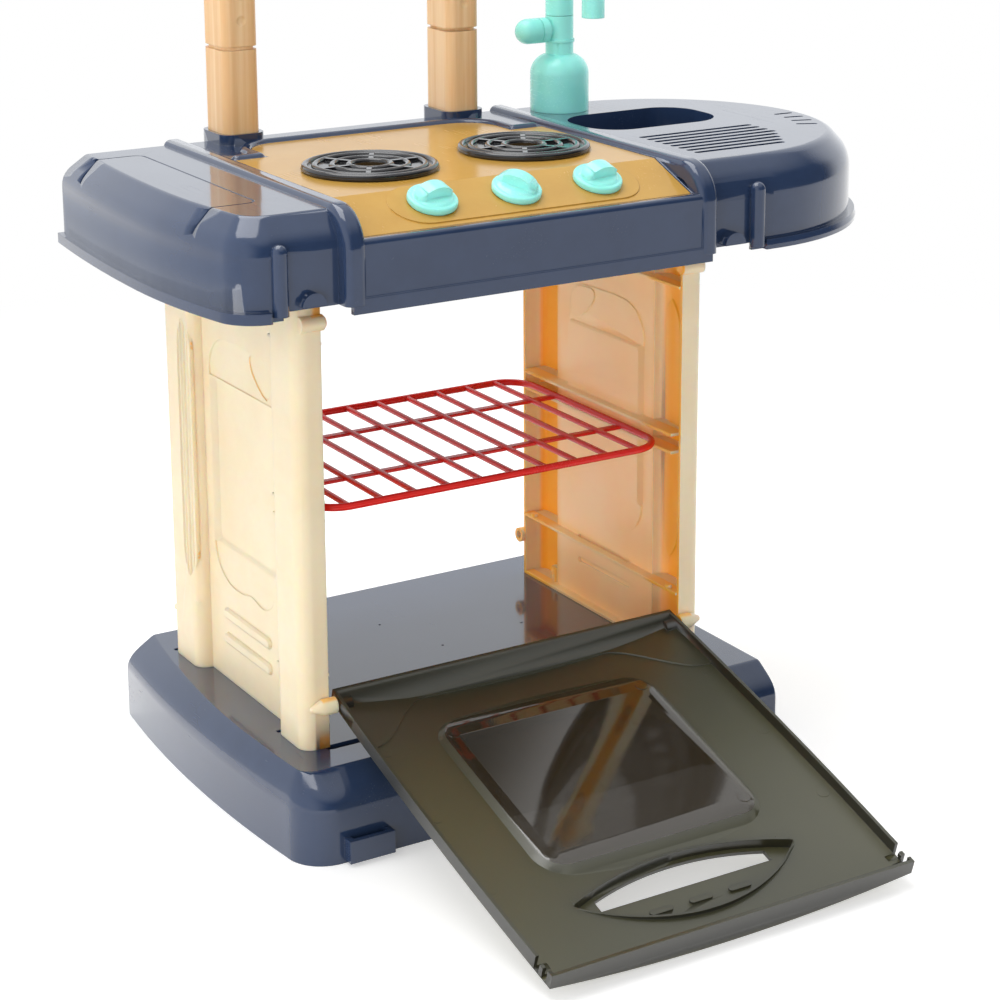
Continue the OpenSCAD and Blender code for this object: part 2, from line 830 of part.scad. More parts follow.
// The apron meets the control panel's slope at the hob's front edge
apron_z = worktop_z - (slope_top_y - hob_front_y) * tan(panel_slope);
hob_t = 3;
deck_t = 2.5;
hob_half = 117;
hob_rear_half = 92;
hob_step_y = 50;
hob_rear_y = 94;
hob_corner_r = 25;

function left_x(y, inset) =
  let (radius = y > left_bow_y ? left_rear_bow : left_front_bow)
  -(left_half - inset) + (y - left_bow_y) * (y - left_bow_y) / (2 * radius);

// The left wing's outline: a bowed side and a round front corner
function left_wing(inset) =
  let (
    r = left_corner_r - inset / 2,
    front = left_front_y + inset,
    slant = (left_bow_y - front - r) / left_front_bow * 180 / PI,
    y1 = front + r * (1 - sin(slant)),
    x1 = left_x(y1, inset),
    cx = x1 + r * cos(slant),
    cy = y1 + r * sin(slant),
    a0 = 180 + slant)
  concat(
    [[-wing_inner_x, rear_y - inset]],
    [for (i = [0:side_steps])
      let (y = rear_y - inset + (y1 - rear_y + inset) * i / side_steps) [left_x(y, inset), y]],
    [for (i = [1:corner_steps])
      let (a = a0 + (270 - a0) * i / corner_steps) [cx + r * cos(a), cy + r * sin(a)]],
    [[-wing_inner_x, front]]);

// Levels of a wing's crown, as (inset, Z)
function left_crown(inset) =
  crown([inset, wall_crease_z], [bevel + inset * 0.6, worktop_z - inset], crease_drop, 0.4, 0.12, 1.4);

function right_crown(inset) =
  crown([inset, wall_crease_z - inset * 0.3], [bevel + inset * 0.4, worktop_z - inset], 11, 0.5, 0.2, 3);

module left_wing_body(inset, low_z) {
  translate([0, 0, low_z]) linear_extrude(wall_crease_z - crease_drop - low_z) polygon(left_wing(inset));
  loft([for (level = left_crown(inset)) [for (p = left_wing(level[0])) [p[0], p[1], level[1]]]]);
}

// Cross-section of a wing from its middle outwards, as (distance, Z)
module wing_section(inset, low_z) {
  polygon(concat([[0, low_z], [wing_r - inset, low_z]],
                 [for (level = right_crown(inset)) [wing_r - level[0], level[1]]],
                 [[0, worktop_z - inset]]));
}

module right_wing_body(inset, low_z) {
  translate([wing_x, wing_y, 0]) {
    rotate([0, 0, -90]) rotate_extrude(angle = 180, $fn = 120) wing_section(inset, low_z);
    for (s = [0, 1]) {
      mirror([0, s, 0]) rotate([90, 0, -90]) linear_extrude(wing_x - wing_inner_x)
        wing_section(inset, low_z);
    }
  }
}

// Cross-section of the middle part, as (Y, Z)
module middle_section() {
  polygon(concat(
    [[rear_y, worktop_low_z]],
    [for (level = left_crown(0)) [rear_y - level[0], level[1]]],
    [[slope_top_y, worktop_z], [hob_front_y, apron_z]],
    rounding([apron_y + 3.5, apron_z], [apron_y, apron_z], [apron_y, apron_z - 3.5], 5),
    [[apron_y, strip_z + 1], [apron_y - 1, strip_z], [apron_y - 1, worktop_low_z]]));
}

module middle_hollow() {
  deck_z = worktop_z - hob_t - deck_t;
  front_z = apron_z - hob_t - deck_t;
  polygon([[rear_y - shell, worktop_low_z - 1], [rear_y - shell, wall_crease_z - 4],
           [rear_y - bevel - 2, deck_z], [slope_top_y, deck_z], [hob_front_y, front_z],
           [apron_y + shell, front_z], [apron_y + shell, worktop_low_z - 1]]);
}

// Plan outline of the hob panel: narrower behind, with round rear corners
module hob_outline(grow) {
  translate([-hob_half - grow, hob_front_y])
    square([2 * (hob_half + grow), hob_step_y - hob_front_y + grow]);
  translate([0, (hob_step_y - 20 + hob_rear_y) / 2])
    round_rect(2 * (hob_rear_half + grow), hob_rear_y - hob_step_y + 20 + 2 * grow, hob_corner_r);
}

// The space above the deck, as (Y, Z), lowered by drop
module hob_space(drop) {
  front_z = apron_z - drop - e * tan(panel_slope);
  polygon([[rear_y, worktop_z - drop], [slope_top_y, worktop_z - drop], [hob_front_y - e, front_z],
           [hob_front_y - e, worktop_z + 20], [rear_y, worktop_z + 20]]);
}

module ridge_section() {
  square_low = ridge_t - 5;
  translate([-ridge_w / 2, 0]) square([ridge_w, square_low]);
  translate([-ridge_w / 2 + 5, 0]) square([ridge_w - 10, ridge_t]);
  for (s = [-1, 1]) translate([s * (ridge_w / 2 - 5), square_low]) circle(5);
}

// A round-topped bar that runs along the worktop and turns down its front
module ridge() {
  bend_y = ridge_front_y + ridge_r;
  bend_z = ridge_top_z - ridge_r;
  ridge_rear_y = rear_y - bevel;
  translate([0, ridge_rear_y, ridge_top_z - ridge_t]) rotate([90, 0, 0])
    linear_extrude(ridge_rear_y - bend_y) ridge_section();
  translate([0, bend_y, bend_z]) rotate([0, -90, 0]) rotate([0, 0, -90]) rotate_extrude(angle = 90)
    translate([ridge_r - ridge_t, 0]) rotate([0, 0, -90]) ridge_section();
  translate([0, ridge_front_y + ridge_t, panel_bottom_z]) rotate([0, 0, 180])
    linear_extrude(bend_z - panel_bottom_z) ridge_section();
}

// Upright rib on a wing's front, with a round top
module front_rib() {
  translate([0, -127, worktop_low_z + 3]) cylinder(r = 5, h = wall_crease_z - worktop_low_z - 8);
  translate([0, -127, wall_crease_z - 5]) sphere(5);
}

// Half-round tab between rib and ridge
tab_x = 151;
tab_r = 8;

module front_tab() {
  intersection() {
    translate([0, -131.5, panel_bottom_z + 2]) rotate([-90, 0, 0]) cylinder(r = tab_r, h = 9.5);
    translate([-tab_r, -140, panel_bottom_z + 2]) cube([2 * tab_r, 20, tab_r]);
  }
}

lip_cut_x = rib_x + 7;

module left_lip() {
  intersection() {
    difference() {
      translate([0, 0, worktop_low_z]) linear_extrude(lip_h) polygon(left_wing(-lip_out));
      translate([0, 0, worktop_low_z - 1]) linear_extrude(lip_h + 2) polygon(left_wing(1));
    }
    translate([-400, -200, 0]) cube([400 - lip_cut_x, 200 + rear_y, 500]);
  }
}

module right_lip() {
  out = wing_r + lip_out;
  ring = [[wing_r - 1, worktop_low_z], [out, worktop_low_z], [out + 0.4, worktop_low_z + 3],
          [out - 0.6, worktop_low_z + lip_h], [wing_r - 1, worktop_low_z + lip_h]];
  translate([wing_x, wing_y, 0]) {
    rotate([0, 0, -90]) rotate_extrude(angle = 174, $fn = 120) polygon(ring);
    rotate([90, 0, -90]) linear_extrude(wing_x - lip_cut_x) polygon(ring);
  }
}

// Collar round the foot of a post
post_w = 26;
post_d = 35;
post_y = 117.5;
post_r = 7;
collar_z = worktop_z + 7;
post_low_z = worktop_z - 12;

// The collar goes on below the deck as a socket with a floor
module post_collar() {
  translate([0, post_y, post_low_z - shell]) linear_extrude(collar_z - post_low_z + shell)
    round_rect(post_w + 6, post_d + 5, post_r + 2);
}

// Sink and draining slots in the right wing
sink_x = 193;
sink_y = 40;
sink_w = 104;
sink_d = 66;
sink_r = 26;
sink_depth = 24;
drain_y = [-22, -86];
drain_count = 8;
drain_w = 4.6;
drain_left_x = 150;
drain_right_x = 243;
fan_angles = [-27, -19, -11, -3];

module drain_slots() {
  pitch = (drain_y[1] - drain_y[0]) / (drain_count - 1);
  for (i = [0:drain_count - 1]) {
    y = drain_y[0] + i * pitch;
    right = drain_right_x - (i > 3 ? (i - 3) * 5 : 0);
    translate([(drain_left_x + right) / 2, y]) slot(right - drain_left_x, drain_w);
  }
  for (a = fan_angles) {
    translate([wing_x, wing_y]) rotate([0, 0, a]) translate([103, 0]) slot(15, 3.4);
  }
}

// The outline of a board is grooved into the left wing and runs on over its slope
board_inner_x = -158.5;
board_y = [-75.5, 101];
board_corner_r = 8;
groove_w = 1.4;
groove_depth = 0.8;

module board_outline(inset) {
  far_x = -left_half - 20;
  w = board_inner_x - far_x - 2 * inset;
  d = board_y[1] - board_y[0] - 2 * inset;
  translate([(board_inner_x + far_x) / 2, (board_y[0] + board_y[1]) / 2])
    round_rect(w, d, board_corner_r - inset);
}

module board_groove() {
  difference() {
    translate([0, 0, wall_crease_z]) linear_extrude(worktop_z - wall_crease_z + 2) difference() {
      board_outline(0);
      board_outline(groove_w);
    }
    left_wing_body(groove_depth, worktop_low_z);
  }
}

// Rounded rim round the rear of the hob, with its ends turned outwards along the step
rim_r = 4.2;
rim_off = 4.4;
rim_end_x = 112;

module hob_bead() {
  x0 = hob_rear_half - hob_corner_r;
  y0 = hob_rear_y - hob_corner_r;
  step_rim_y = hob_step_y + rim_off;
  translate([0, 0, worktop_z - rim_r + 2.6]) {
    mirror_copy_x() {
      translate([x0, y0, 0]) rotate_extrude(angle = 90) translate([hob_corner_r + rim_off, 0])
        circle(rim_r, $fn = 32);
      translate([hob_rear_half + rim_off, step_rim_y, 0]) {
        rotate([-90, 0, 0]) cylinder(r = rim_r, h = y0 - step_rim_y, $fn = 32);
        sphere(rim_r, $fn = 32);
        rotate([0, 90, 0]) cylinder(r = rim_r, h = rim_end_x - hob_rear_half - rim_off, $fn = 32);
      }
      translate([rim_end_x, step_rim_y, 0]) sphere(rim_r, $fn = 32);
    }
    translate([-x0, hob_rear_y + rim_off, 0]) rotate([0, 90, 0])
      cylinder(r = rim_r, h = 2 * x0, $fn = 32);
  }
}

knob_y = -105;
knob_z = worktop_z - (slope_top_y - knob_y) * tan(panel_slope);
knob_xs = [-58, 1.5, 61];
shaft_r = 3;

module at_knob(x) {
  translate([x, knob_y, knob_z]) rotate([panel_slope, 0, 0]) children();
}

boss_top_z = worktop_z - 1;

module worktop_shell() {
  color(navy) {
    difference() {
      union() {
        difference() {
          union() {
            left_wing_body(0, worktop_low_z);
            right_wing_body(0, worktop_low_z);
            along_x(-apron_half, apron_half) middle_section();
          }
          left_wing_body(shell, worktop_low_z - 1);
          right_wing_body(shell, worktop_low_z - 1);
          along_x(-apron_half - 3, apron_half + 3) middle_hollow();
          intersection() {
            along_x(-hob_half - 20, hob_half + 20) hob_space(hob_t);
            translate([0, 0, worktop_z - 40]) linear_extrude(80) hob_outline(gap);
          }
          // the front between rib and ridge ends a little higher
          mirror_copy_x() translate([apron_half, -140, worktop_low_z - 5])
            cube([rib_x - 2 - apron_half, 20, panel_bottom_z - worktop_low_z + 5]);
        }
        for (s = [-1, 1]) {
          translate([s * ridge_x, 0, 0]) ridge();
          translate([s * rib_x, 0, 0]) front_rib();
          translate([s * tab_x, 0, 0]) front_tab();
          translate([s * post_x, 0, 0]) post_collar();
          for (y = wall_screw_ys) {
            translate([s * tongue_x, y, wall_top_z])
              cylinder(r = screw_boss_r, h = boss_top_z - wall_top_z);
          }
        }
        left_lip();
        right_lip();
        hob_bead();
        // walls of the sink
        translate([sink_x, sink_y, worktop_z - sink_depth - shell]) linear_extrude(sink_depth + shell - 1)
          round_rect(sink_w + 2 * shell, sink_d + 2 * shell, sink_r + shell);
      }
      translate([sink_x, sink_y, worktop_z - sink_depth]) linear_extrude(sink_depth + 10)
        round_rect(sink_w, sink_d, sink_r);
      translate([sink_x, sink_y, worktop_z - sink_depth - 10]) cylinder(r = 7, h = 20);
      translate([0, 0, worktop_z - 10]) linear_extrude(20) drain_slots();
      board_groove();
      for (s = [-1, 1]) {
        translate([s * post_x, post_y, post_low_z]) linear_extrude(60)
          round_rect(post_w + gap, post_d + gap, post_r);
        for (y = wall_screw_ys) {
          translate([s * tongue_x, y, wall_top_z - 1]) cylinder(r = pilot_r, h = 16);
        }
      }
      for (x = knob_xs) at_knob(x) translate([0, 0, -20]) cylinder(r = shaft_r + 1, h = 40);
      translate([tap_x, tap_y, worktop_z - 10]) cylinder(r = 7.1, h = 20);
    }
  }
}

module wall_screws() {
  color(steel) mirror_copy_x() {
    for (y = wall_screw_ys) translate([tongue_x, y, wall_top_z - skin]) screw_up(3.6, 1.5, 12);
  }
}

// ---------------------------------------------------------------- hob

relief_half = 88;
relief_w = 42;
hob_relief_h = 0.7;

module hob_panel() {
  color(tan_yellow) {
    difference() {
      union() {
        intersection() {
          along_x(-hob_half, hob_half) polygon([[rear_y, worktop_z], [slope_top_y, worktop_z],
            [hob_front_y, apron_z], [hob_front_y, apron_z - hob_t], [slope_top_y, worktop_z - hob_t],
            [rear_y, worktop_z - hob_t]]);
          translate([0, 0, worktop_z - 40]) linear_extrude(80) hob_outline(0);
        }
        // stadium-shaped relief round the three knobs
        at_knob(knob_xs[1]) translate([0, 0, -1]) linear_extrude(1 + hob_relief_h)
          slot(2 * relief_half, relief_w);
      }
      for (x = knob_xs) at_knob(x) translate([0, 0, -10]) cylinder(r = shaft_r + running, h = 20);
    }
  }
}

burner_ys = [-21, -16];
burner_xs = [-55, 62];

module burner_ring(x, y) {
  color(gloss_black) translate([x, y, worktop_z]) {
    rotate_extrude($fn = 72)
      polygon([[11, 0], [burner_r - 1, 0], [burner_r, 1.4], [burner_r - 1.2, 2.4], [11, 2.4]]);
    for (r = [burner_r - 2.6, burner_r - 9, 24, 13.4]) {
      rotate_extrude($fn = 72) translate([r, 2.4]) circle(2.2, $fn = 24);
    }
    for (a = [0:60:300]) {
      rotate([0, 0, a]) translate([13.4, -1.6, 2]) cube([burner_r - 22.4, 3.2, 2.2]);
    }
  }
}

module left_burner_ring() {
  burner_ring(burner_xs[0], burner_ys[0]);
}

module right_burner_ring() {
  burner_ring(burner_xs[1], burner_ys[1]);
}

// ---------------------------------------------------------------- knobs

flange_h = 4.4;
knob_foot_z = hob_relief_h + gap;
grip_l = 26;
grip_w = 10;
grip_h = 8.5;
grip_arch_r = 17;
clip_z = -(hob_t + deck_t) * cos(panel_slope) - gap;
knob_turns = [8, -52, 8];

module knob(x, turn) {
  at_knob(x) rotate([0, 0, turn]) translate([0, 0, knob_foot_z]) {
    rotate_extrude($fn = 72) {
      square([knob_r - 1.6, flange_h]);
      translate([0, 0.8]) square([knob_r, flange_h - 2.4]);
      translate([knob_r - 1.6, flange_h - 1.6]) circle(1.6);
      square([knob_r - 0.4, 0.8]);
    }
    // low dome
    translate([0, 0, flange_h]) rotate_extrude($fn = 72)
      polygon([[0, 0], [knob_r - 2.4, 0], [knob_r - 4.2, 1.2], [knob_r - 8, 1.9], [0, 2.1]]);
    // arched grip
    intersection() {
      translate([0, 0, flange_h]) linear_extrude(grip_h) round_rect(grip_l, grip_w, 4.4);
      translate([0, 0, flange_h + grip_h - grip_arch_r]) rotate([90, 0, 0])
        cylinder(r = grip_arch_r, h = grip_w, center = true, $fn = 96);
    }
    translate([0, 0, clip_z - 3 - knob_foot_z]) cylinder(r = shaft_r, h = 3 - clip_z + knob_foot_z + 1);
  }
}

module knob_clip(x) {
  at_knob(x) translate([0, 0, clip_z - 2.4]) difference() {
    cylinder(r = 6, h = 2.4);
    translate([0, 0, -1]) cylinder(r = shaft_r + running, h = 5);
    translate([2, -0.8, -1]) cube([6, 1.6, 5]);
  }
}

module left_knob() {
  color(turquoise) knob(knob_xs[0], knob_turns[0]);
}

module middle_knob() {
  color(turquoise) knob(knob_xs[1], knob_turns[1]);
}

module right_knob() {
  color(turquoise) knob(knob_xs[2], knob_turns[2]);
}

module left_knob_clip() {
  color(steel) knob_clip(knob_xs[0]);
}

module middle_knob_clip() {
  color(steel) knob_clip(knob_xs[1]);
}

module right_knob_clip() {
  color(steel) knob_clip(knob_xs[2]);
}

// ---------------------------------------------------------------- tap

column_r = 10;
column_top_z = 468;
tap_step_z = 449;
spigot_r = 5;
spigot_l = 7;
bell_r = 21;
bell_h = 26;
bell_round = 15;
spout_reach = 44;
spout_r = 8;
spout_bend_z = 490;
outlet_z = 471;
tap_knob_z = 458;
tap_knob_l = 15;
tap_ring_l = 6;
tap_groove = 0.7;
tap_shaft_r = 2.5;
tap_knob_r = 9;

module at_tap() {
  translate([tap_x, tap_y, 0]) children();
}

module tap_body() {
  color(turquoise) at_tap() difference() {
    union() {
      translate([0, 0, worktop_z]) rotate_extrude($fn = 72) {
        // bell foot with a domed top
        square([bell_r, bell_h]);
        intersection() {
          translate([bell_r - bell_round, bell_h]) circle(bell_round);
          translate([0, bell_h]) square([bell_r, bell_round]);
        }
        translate([0, bell_h]) square([bell_r - bell_round, bell_round]);
      }
      translate([0, 0, worktop_z]) cylinder(r = column_r, h = column_top_z - worktop_z);
      translate([0, 0, tap_step_z]) cylinder(r = column_r + 0.8, h = 2);
      translate([0, 0, worktop_z - 16]) cylinder(r = 6.9, h = 17);
      // neck of the side knob
      translate([0, 0, tap_knob_z]) rotate([0, -90, 0]) cylinder(r = 6, h = column_r + 1.5);
    }
    translate([0, 0, column_top_z - spigot_l - 1]) cylinder(r = spigot_r + running, h = 20);
    translate([-2, 0, tap_knob_z]) rotate([0, -90, 0]) cylinder(r = tap_shaft_r + running, h = 20);
  }
}

module tap_nut() {
  color(turquoise) at_tap() translate([0, 0, worktop_z - shell - 6.2]) difference() {
    cylinder(r = 13, h = 6, $fn = 6);
    translate([0, 0, -1]) cylinder(r = 7, h = 9);
  }
}

module tap_spout() {
  color(turquoise) at_tap() {
    translate([0, 0, column_top_z + gap]) cylinder(r = column_r, h = spout_bend_z - column_top_z - gap);
    translate([0, 0, column_top_z - spigot_l]) cylinder(r = spigot_r, h = spigot_l + 2);
    translate([0, -spout_reach / 2, spout_bend_z]) rotate([0, -90, 0]) rotate([0, 0, -90])
      rotate_extrude(angle = 180) translate([spout_reach / 2, 0]) circle(spout_r);
    translate([0, -spout_reach, outlet_z]) difference() {
      cylinder(r = spout_r, h = spout_bend_z - outlet_z);
      translate([0, 0, -1]) cylinder(r = spout_r - 2, h = 9);
    }
  }
}

module tap_knob() {
  color(turquoise) at_tap() translate([-column_r - 1.5 - gap, 0, tap_knob_z]) rotate([0, -90, 0]) {
    rotate_extrude($fn = 72) {
      square([tap_knob_r, tap_ring_l]);
      square([tap_knob_r - tap_groove, tap_knob_l]);
      translate([0, tap_ring_l + tap_groove]) square([tap_knob_r, tap_knob_l - tap_ring_l - tap_groove]);
      translate([0, tap_knob_l]) intersection() {
        circle(tap_knob_r);
        square([tap_knob_r, tap_knob_r]);
      }
    }
    translate([0, 0, -7.5]) cylinder(r = tap_shaft_r, h = 8.5);
  }
}

// ---------------------------------------------------------------- posts and rail

dimple_z = 482;

module post_outline(grow) {
  round_rect(post_w + 2 * grow, post_d + 2 * grow, post_r);
}

module post_lower(side) {
  color(cream) translate([side * post_x, post_y, 0]) difference() {
    translate([0, 0, post_low_z]) linear_extrude(post_joint_z - post_low_z) post_outline(0);
    // groove below the joint
    translate([0, 0, post_joint_z - 2.4]) linear_extrude(3) difference() {
      post_outline(1);
      post_outline(-1.6);
    }
    translate([0, 0, post_low_z - 1]) linear_extrude(post_joint_z - post_low_z - 12) post_outline(-shell);
    translate([0, 0, post_joint_z - 20]) linear_extrude(30) round_rect(14, 20, 3);
  }
}

module post_upper(side) {
  color(cream) translate([side * post_x, post_y, 0]) difference() {
    union() {
      translate([0, 0, post_joint_z]) linear_extrude(post_top_z - post_joint_z) post_outline(0);
      translate([0, 0, post_joint_z - 9]) linear_extrude(10) round_rect(13.8, 19.8, 3);
    }
    translate([0, 0, post_joint_z + 6]) linear_extrude(post_top_z - post_joint_z) post_outline(-shell);
    // dimple on the front face
    translate([0, -post_d / 2 - 4.8, dimple_z]) sphere(6);
    // the rail's tenon goes in here
    translate([side * -post_w / 2, 0, rail_z]) cube([12, 6.4, 16.4], center = true);
  }
}

module left_post_lower() {
  post_lower(-1);
}

module right_post_lower() {
  post_lower(1);
}

module left_post_upper() {
  post_upper(-1);
}

module right_post_upper() {
  post_upper(1);
}

module post_cap(side) {
  color(navy) translate([side * post_x, post_y, post_top_z]) {
    linear_extrude(5) post_outline(1.5);
    translate([0, 0, 5]) linear_extrude(2.5) post_outline(-1);
  }
}

module left_post_cap() {
  post_cap(-1);
}

module right_post_cap() {
  post_cap(1);
}

hook_xs = [-48, -16, 16, 48];
hook_r = 6.5;
hook_wire_r = 2.4;

// A hook in front of the rail, open upwards
module hook() {
  translate([0, -hook_r, 0]) rotate([90, 0, 90]) rotate([0, 0, 180]) rotate_extrude(angle = 180)
    translate([hook_r, 0]) circle(hook_wire_r, $fn = 24);
  cylinder(r = hook_wire_r, h = 9, $fn = 24);
  translate([0, -2 * hook_r, 0]) {
    cylinder(r = hook_wire_r, h = 4, $fn = 24);
    translate([0, 0, 4]) sphere(hook_wire_r, $fn = 24);
  }
}

module hook_rail() {
  rail_half = post_x - post_w / 2;
  color(navy) translate([0, post_y, 0]) {
    along_x(-rail_half + gap, rail_half - gap) translate([0, rail_z]) round_rect(9, 24, 4);
    translate([-rail_half - 5, -3, rail_z - 8]) cube([2 * rail_half + 10, 6, 16]);
    for (x = hook_xs) translate([x, -1.5, rail_z - 18]) hook();
  }
}

// ---------------------------------------------------------------- nodes

base_shell();
base_screws();
left_wall();
right_wall();
oven_rack();
oven_door();
worktop_shell();
wall_screws();
hob_panel();
left_burner_ring();
right_burner_ring();
left_knob();
middle_knob();
right_knob();
left_knob_clip();
middle_knob_clip();
right_knob_clip();
tap_body();
tap_nut();
tap_spout();
tap_knob();
left_post_lower();
right_post_lower();
left_post_upper();
right_post_upper();
left_post_cap();
right_post_cap();
hook_rail();
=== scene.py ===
# %% [markdown]
# # A toy oven in glossy moulded plastic
# The real object is a child's cooking set: a deep blue base and worktop, two cream side
# walls, a smoked door that folds down, a red rack, a hob, a sink with a tap, and two posts.
# Nearly every part is injection moulded, so the whole look comes from soft edges, clean
# gloss and light that passes a little way into thin plastic. The CAD model fixes every
# shape and place, and this script dresses it.

# %% Load the fixed frame
import json
import math

import bmesh
import bpy
from mathutils import Matrix, Vector
from mathutils.geometry import convex_hull_2d

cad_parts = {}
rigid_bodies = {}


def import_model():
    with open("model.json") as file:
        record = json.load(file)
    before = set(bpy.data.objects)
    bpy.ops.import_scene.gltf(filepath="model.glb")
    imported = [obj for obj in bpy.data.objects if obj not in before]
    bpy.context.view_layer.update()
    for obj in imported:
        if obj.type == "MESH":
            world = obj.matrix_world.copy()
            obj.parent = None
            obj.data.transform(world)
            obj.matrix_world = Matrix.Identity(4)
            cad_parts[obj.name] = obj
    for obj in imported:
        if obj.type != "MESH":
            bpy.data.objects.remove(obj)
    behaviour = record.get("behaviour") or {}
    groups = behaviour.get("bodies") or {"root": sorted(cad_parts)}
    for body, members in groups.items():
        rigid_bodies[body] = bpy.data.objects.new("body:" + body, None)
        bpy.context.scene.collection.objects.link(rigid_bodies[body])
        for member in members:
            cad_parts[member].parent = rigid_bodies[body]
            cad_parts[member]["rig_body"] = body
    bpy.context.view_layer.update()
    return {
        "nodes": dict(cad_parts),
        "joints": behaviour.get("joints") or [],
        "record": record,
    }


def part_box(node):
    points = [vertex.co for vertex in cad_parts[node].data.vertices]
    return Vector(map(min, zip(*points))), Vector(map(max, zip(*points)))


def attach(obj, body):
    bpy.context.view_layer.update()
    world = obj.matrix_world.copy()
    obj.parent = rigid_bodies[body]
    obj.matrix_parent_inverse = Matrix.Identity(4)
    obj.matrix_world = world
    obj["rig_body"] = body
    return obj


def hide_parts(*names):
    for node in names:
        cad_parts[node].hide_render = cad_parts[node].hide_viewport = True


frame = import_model()
mm = 0.001

# %% [markdown]
# ## Camera first
# The picture was taken from the front left, a little above the worktop, with a long lens.
# A camera fitted to the walls' edges gives the place and the turn. It looks down a little,
# and its lens is shifted besides, because the picture's middle isn't where the lens aimed.

# %% Photograph's camera
camera_data = bpy.data.cameras.new("studio_camera")
camera_data.sensor_width = 36
camera_data.lens = 88.5888
camera_data.shift_x, camera_data.shift_y = -0.02066, -0.21724
camera = bpy.data.objects.new("studio_camera", camera_data)
camera.location = (-0.7705, -1.3739, 0.7009)
camera.rotation_euler = (math.radians(76.1963), math.radians(0.1742), math.radians(-31.4692))
bpy.context.scene.collection.objects.link(camera)
bpy.context.scene.camera = camera
bpy.context.scene.view_settings.view_transform = "Standard"
print("camera set", camera_data.lens, "mm lens")

# %% [markdown]
# ## A small kit for shader node groups
# Moulded plastics share the same flaws: slow ripples where the plastic shrank, a faint
# grain, hairline scratches and a little dust. Each effect is one node group with named
# inputs, built once and placed in every material with its own values. These helpers only
# save typing, because a group needs its sockets declared before its nodes are linked.


# %% Group helpers
def new_group(name, inputs, outputs):
    """An empty shader group with float or vector sockets, and its in and out nodes."""
    group = bpy.data.node_groups.new(name, "ShaderNodeTree")
    kinds = {"float": "NodeSocketFloat", "vector": "NodeSocketVector"}
    for label, kind, default in inputs:
        socket = group.interface.new_socket(label, in_out="INPUT", socket_type=kinds[kind])
        if default is not None:
            socket.default_value = default
    for label, kind in outputs:
        group.interface.new_socket(label, in_out="OUTPUT", socket_type=kinds[kind])
    return group, group.nodes.new("NodeGroupInput"), group.nodes.new("NodeGroupOutput")


def node(tree, kind, settings=None, **values):
    """A node with its properties from settings and its input sockets from values."""
    made = tree.nodes.new(kind)
    for key, value in (settings or {}).items():
        setattr(made, key, value)
    for key, value in values.items():
        socket = made.inputs[int(key[1:])] if key[0] == "i" and key[1:].isdigit() else made.inputs[key]
        if isinstance(value, bpy.types.NodeSocket):
            tree.links.new(value, socket)
        else:
            socket.default_value = value
    return made


def math_node(tree, operation, first, second=None, third=None, clamp=False):
    """One Math node; each term is a number or another node's output."""
    made = tree.nodes.new("ShaderNodeMath")
    made.operation = operation
    made.use_clamp = clamp
    for socket, term in zip(made.inputs, (first, second, third)):
        if isinstance(term, bpy.types.NodeSocket):
            tree.links.new(term, socket)
        elif term is not None:
            socket.default_value = term
    return made.outputs[0]


def remap(tree, value, low, high, to_low=0.0, to_high=1.0, smooth=True):
    """Map Range, clamped, with a smooth step unless it should be straight."""
    made = tree.nodes.new("ShaderNodeMapRange")
    made.interpolation_type = "SMOOTHSTEP" if smooth else "LINEAR"
    tree.links.new(value, made.inputs["Value"])
    for label, number in (("From Min", low), ("From Max", high), ("To Min", to_low), ("To Max", to_high)):
        made.inputs[label].default_value = number
    return made.outputs["Result"]


def mix_colour(tree, factor, first, second):
    """A colour Mix node; factor and colours are values or sockets."""
    made = tree.nodes.new("ShaderNodeMix")
    made.data_type = "RGBA"
    for socket, term in ((made.inputs[0], factor), (made.inputs[6], first), (made.inputs[7], second)):
        if isinstance(term, bpy.types.NodeSocket):
            tree.links.new(term, socket)
        else:
            socket.default_value = term if isinstance(term, float) else (*term, 1.0)
    return made.outputs[2]


print("helpers ready")

# %% [markdown]
# ## Moulded surface
# Look along any glossy toy and its reflections swim a little: the skin is not flat but
# sinks by hundredths of a millimetre. Two noises make that here, one slow and one fine.
# The Bevel node rounds the shading of every hard edge, as the mould's own radius does, and
# the group hands on a normal, so that each material only states how worn its mould was.


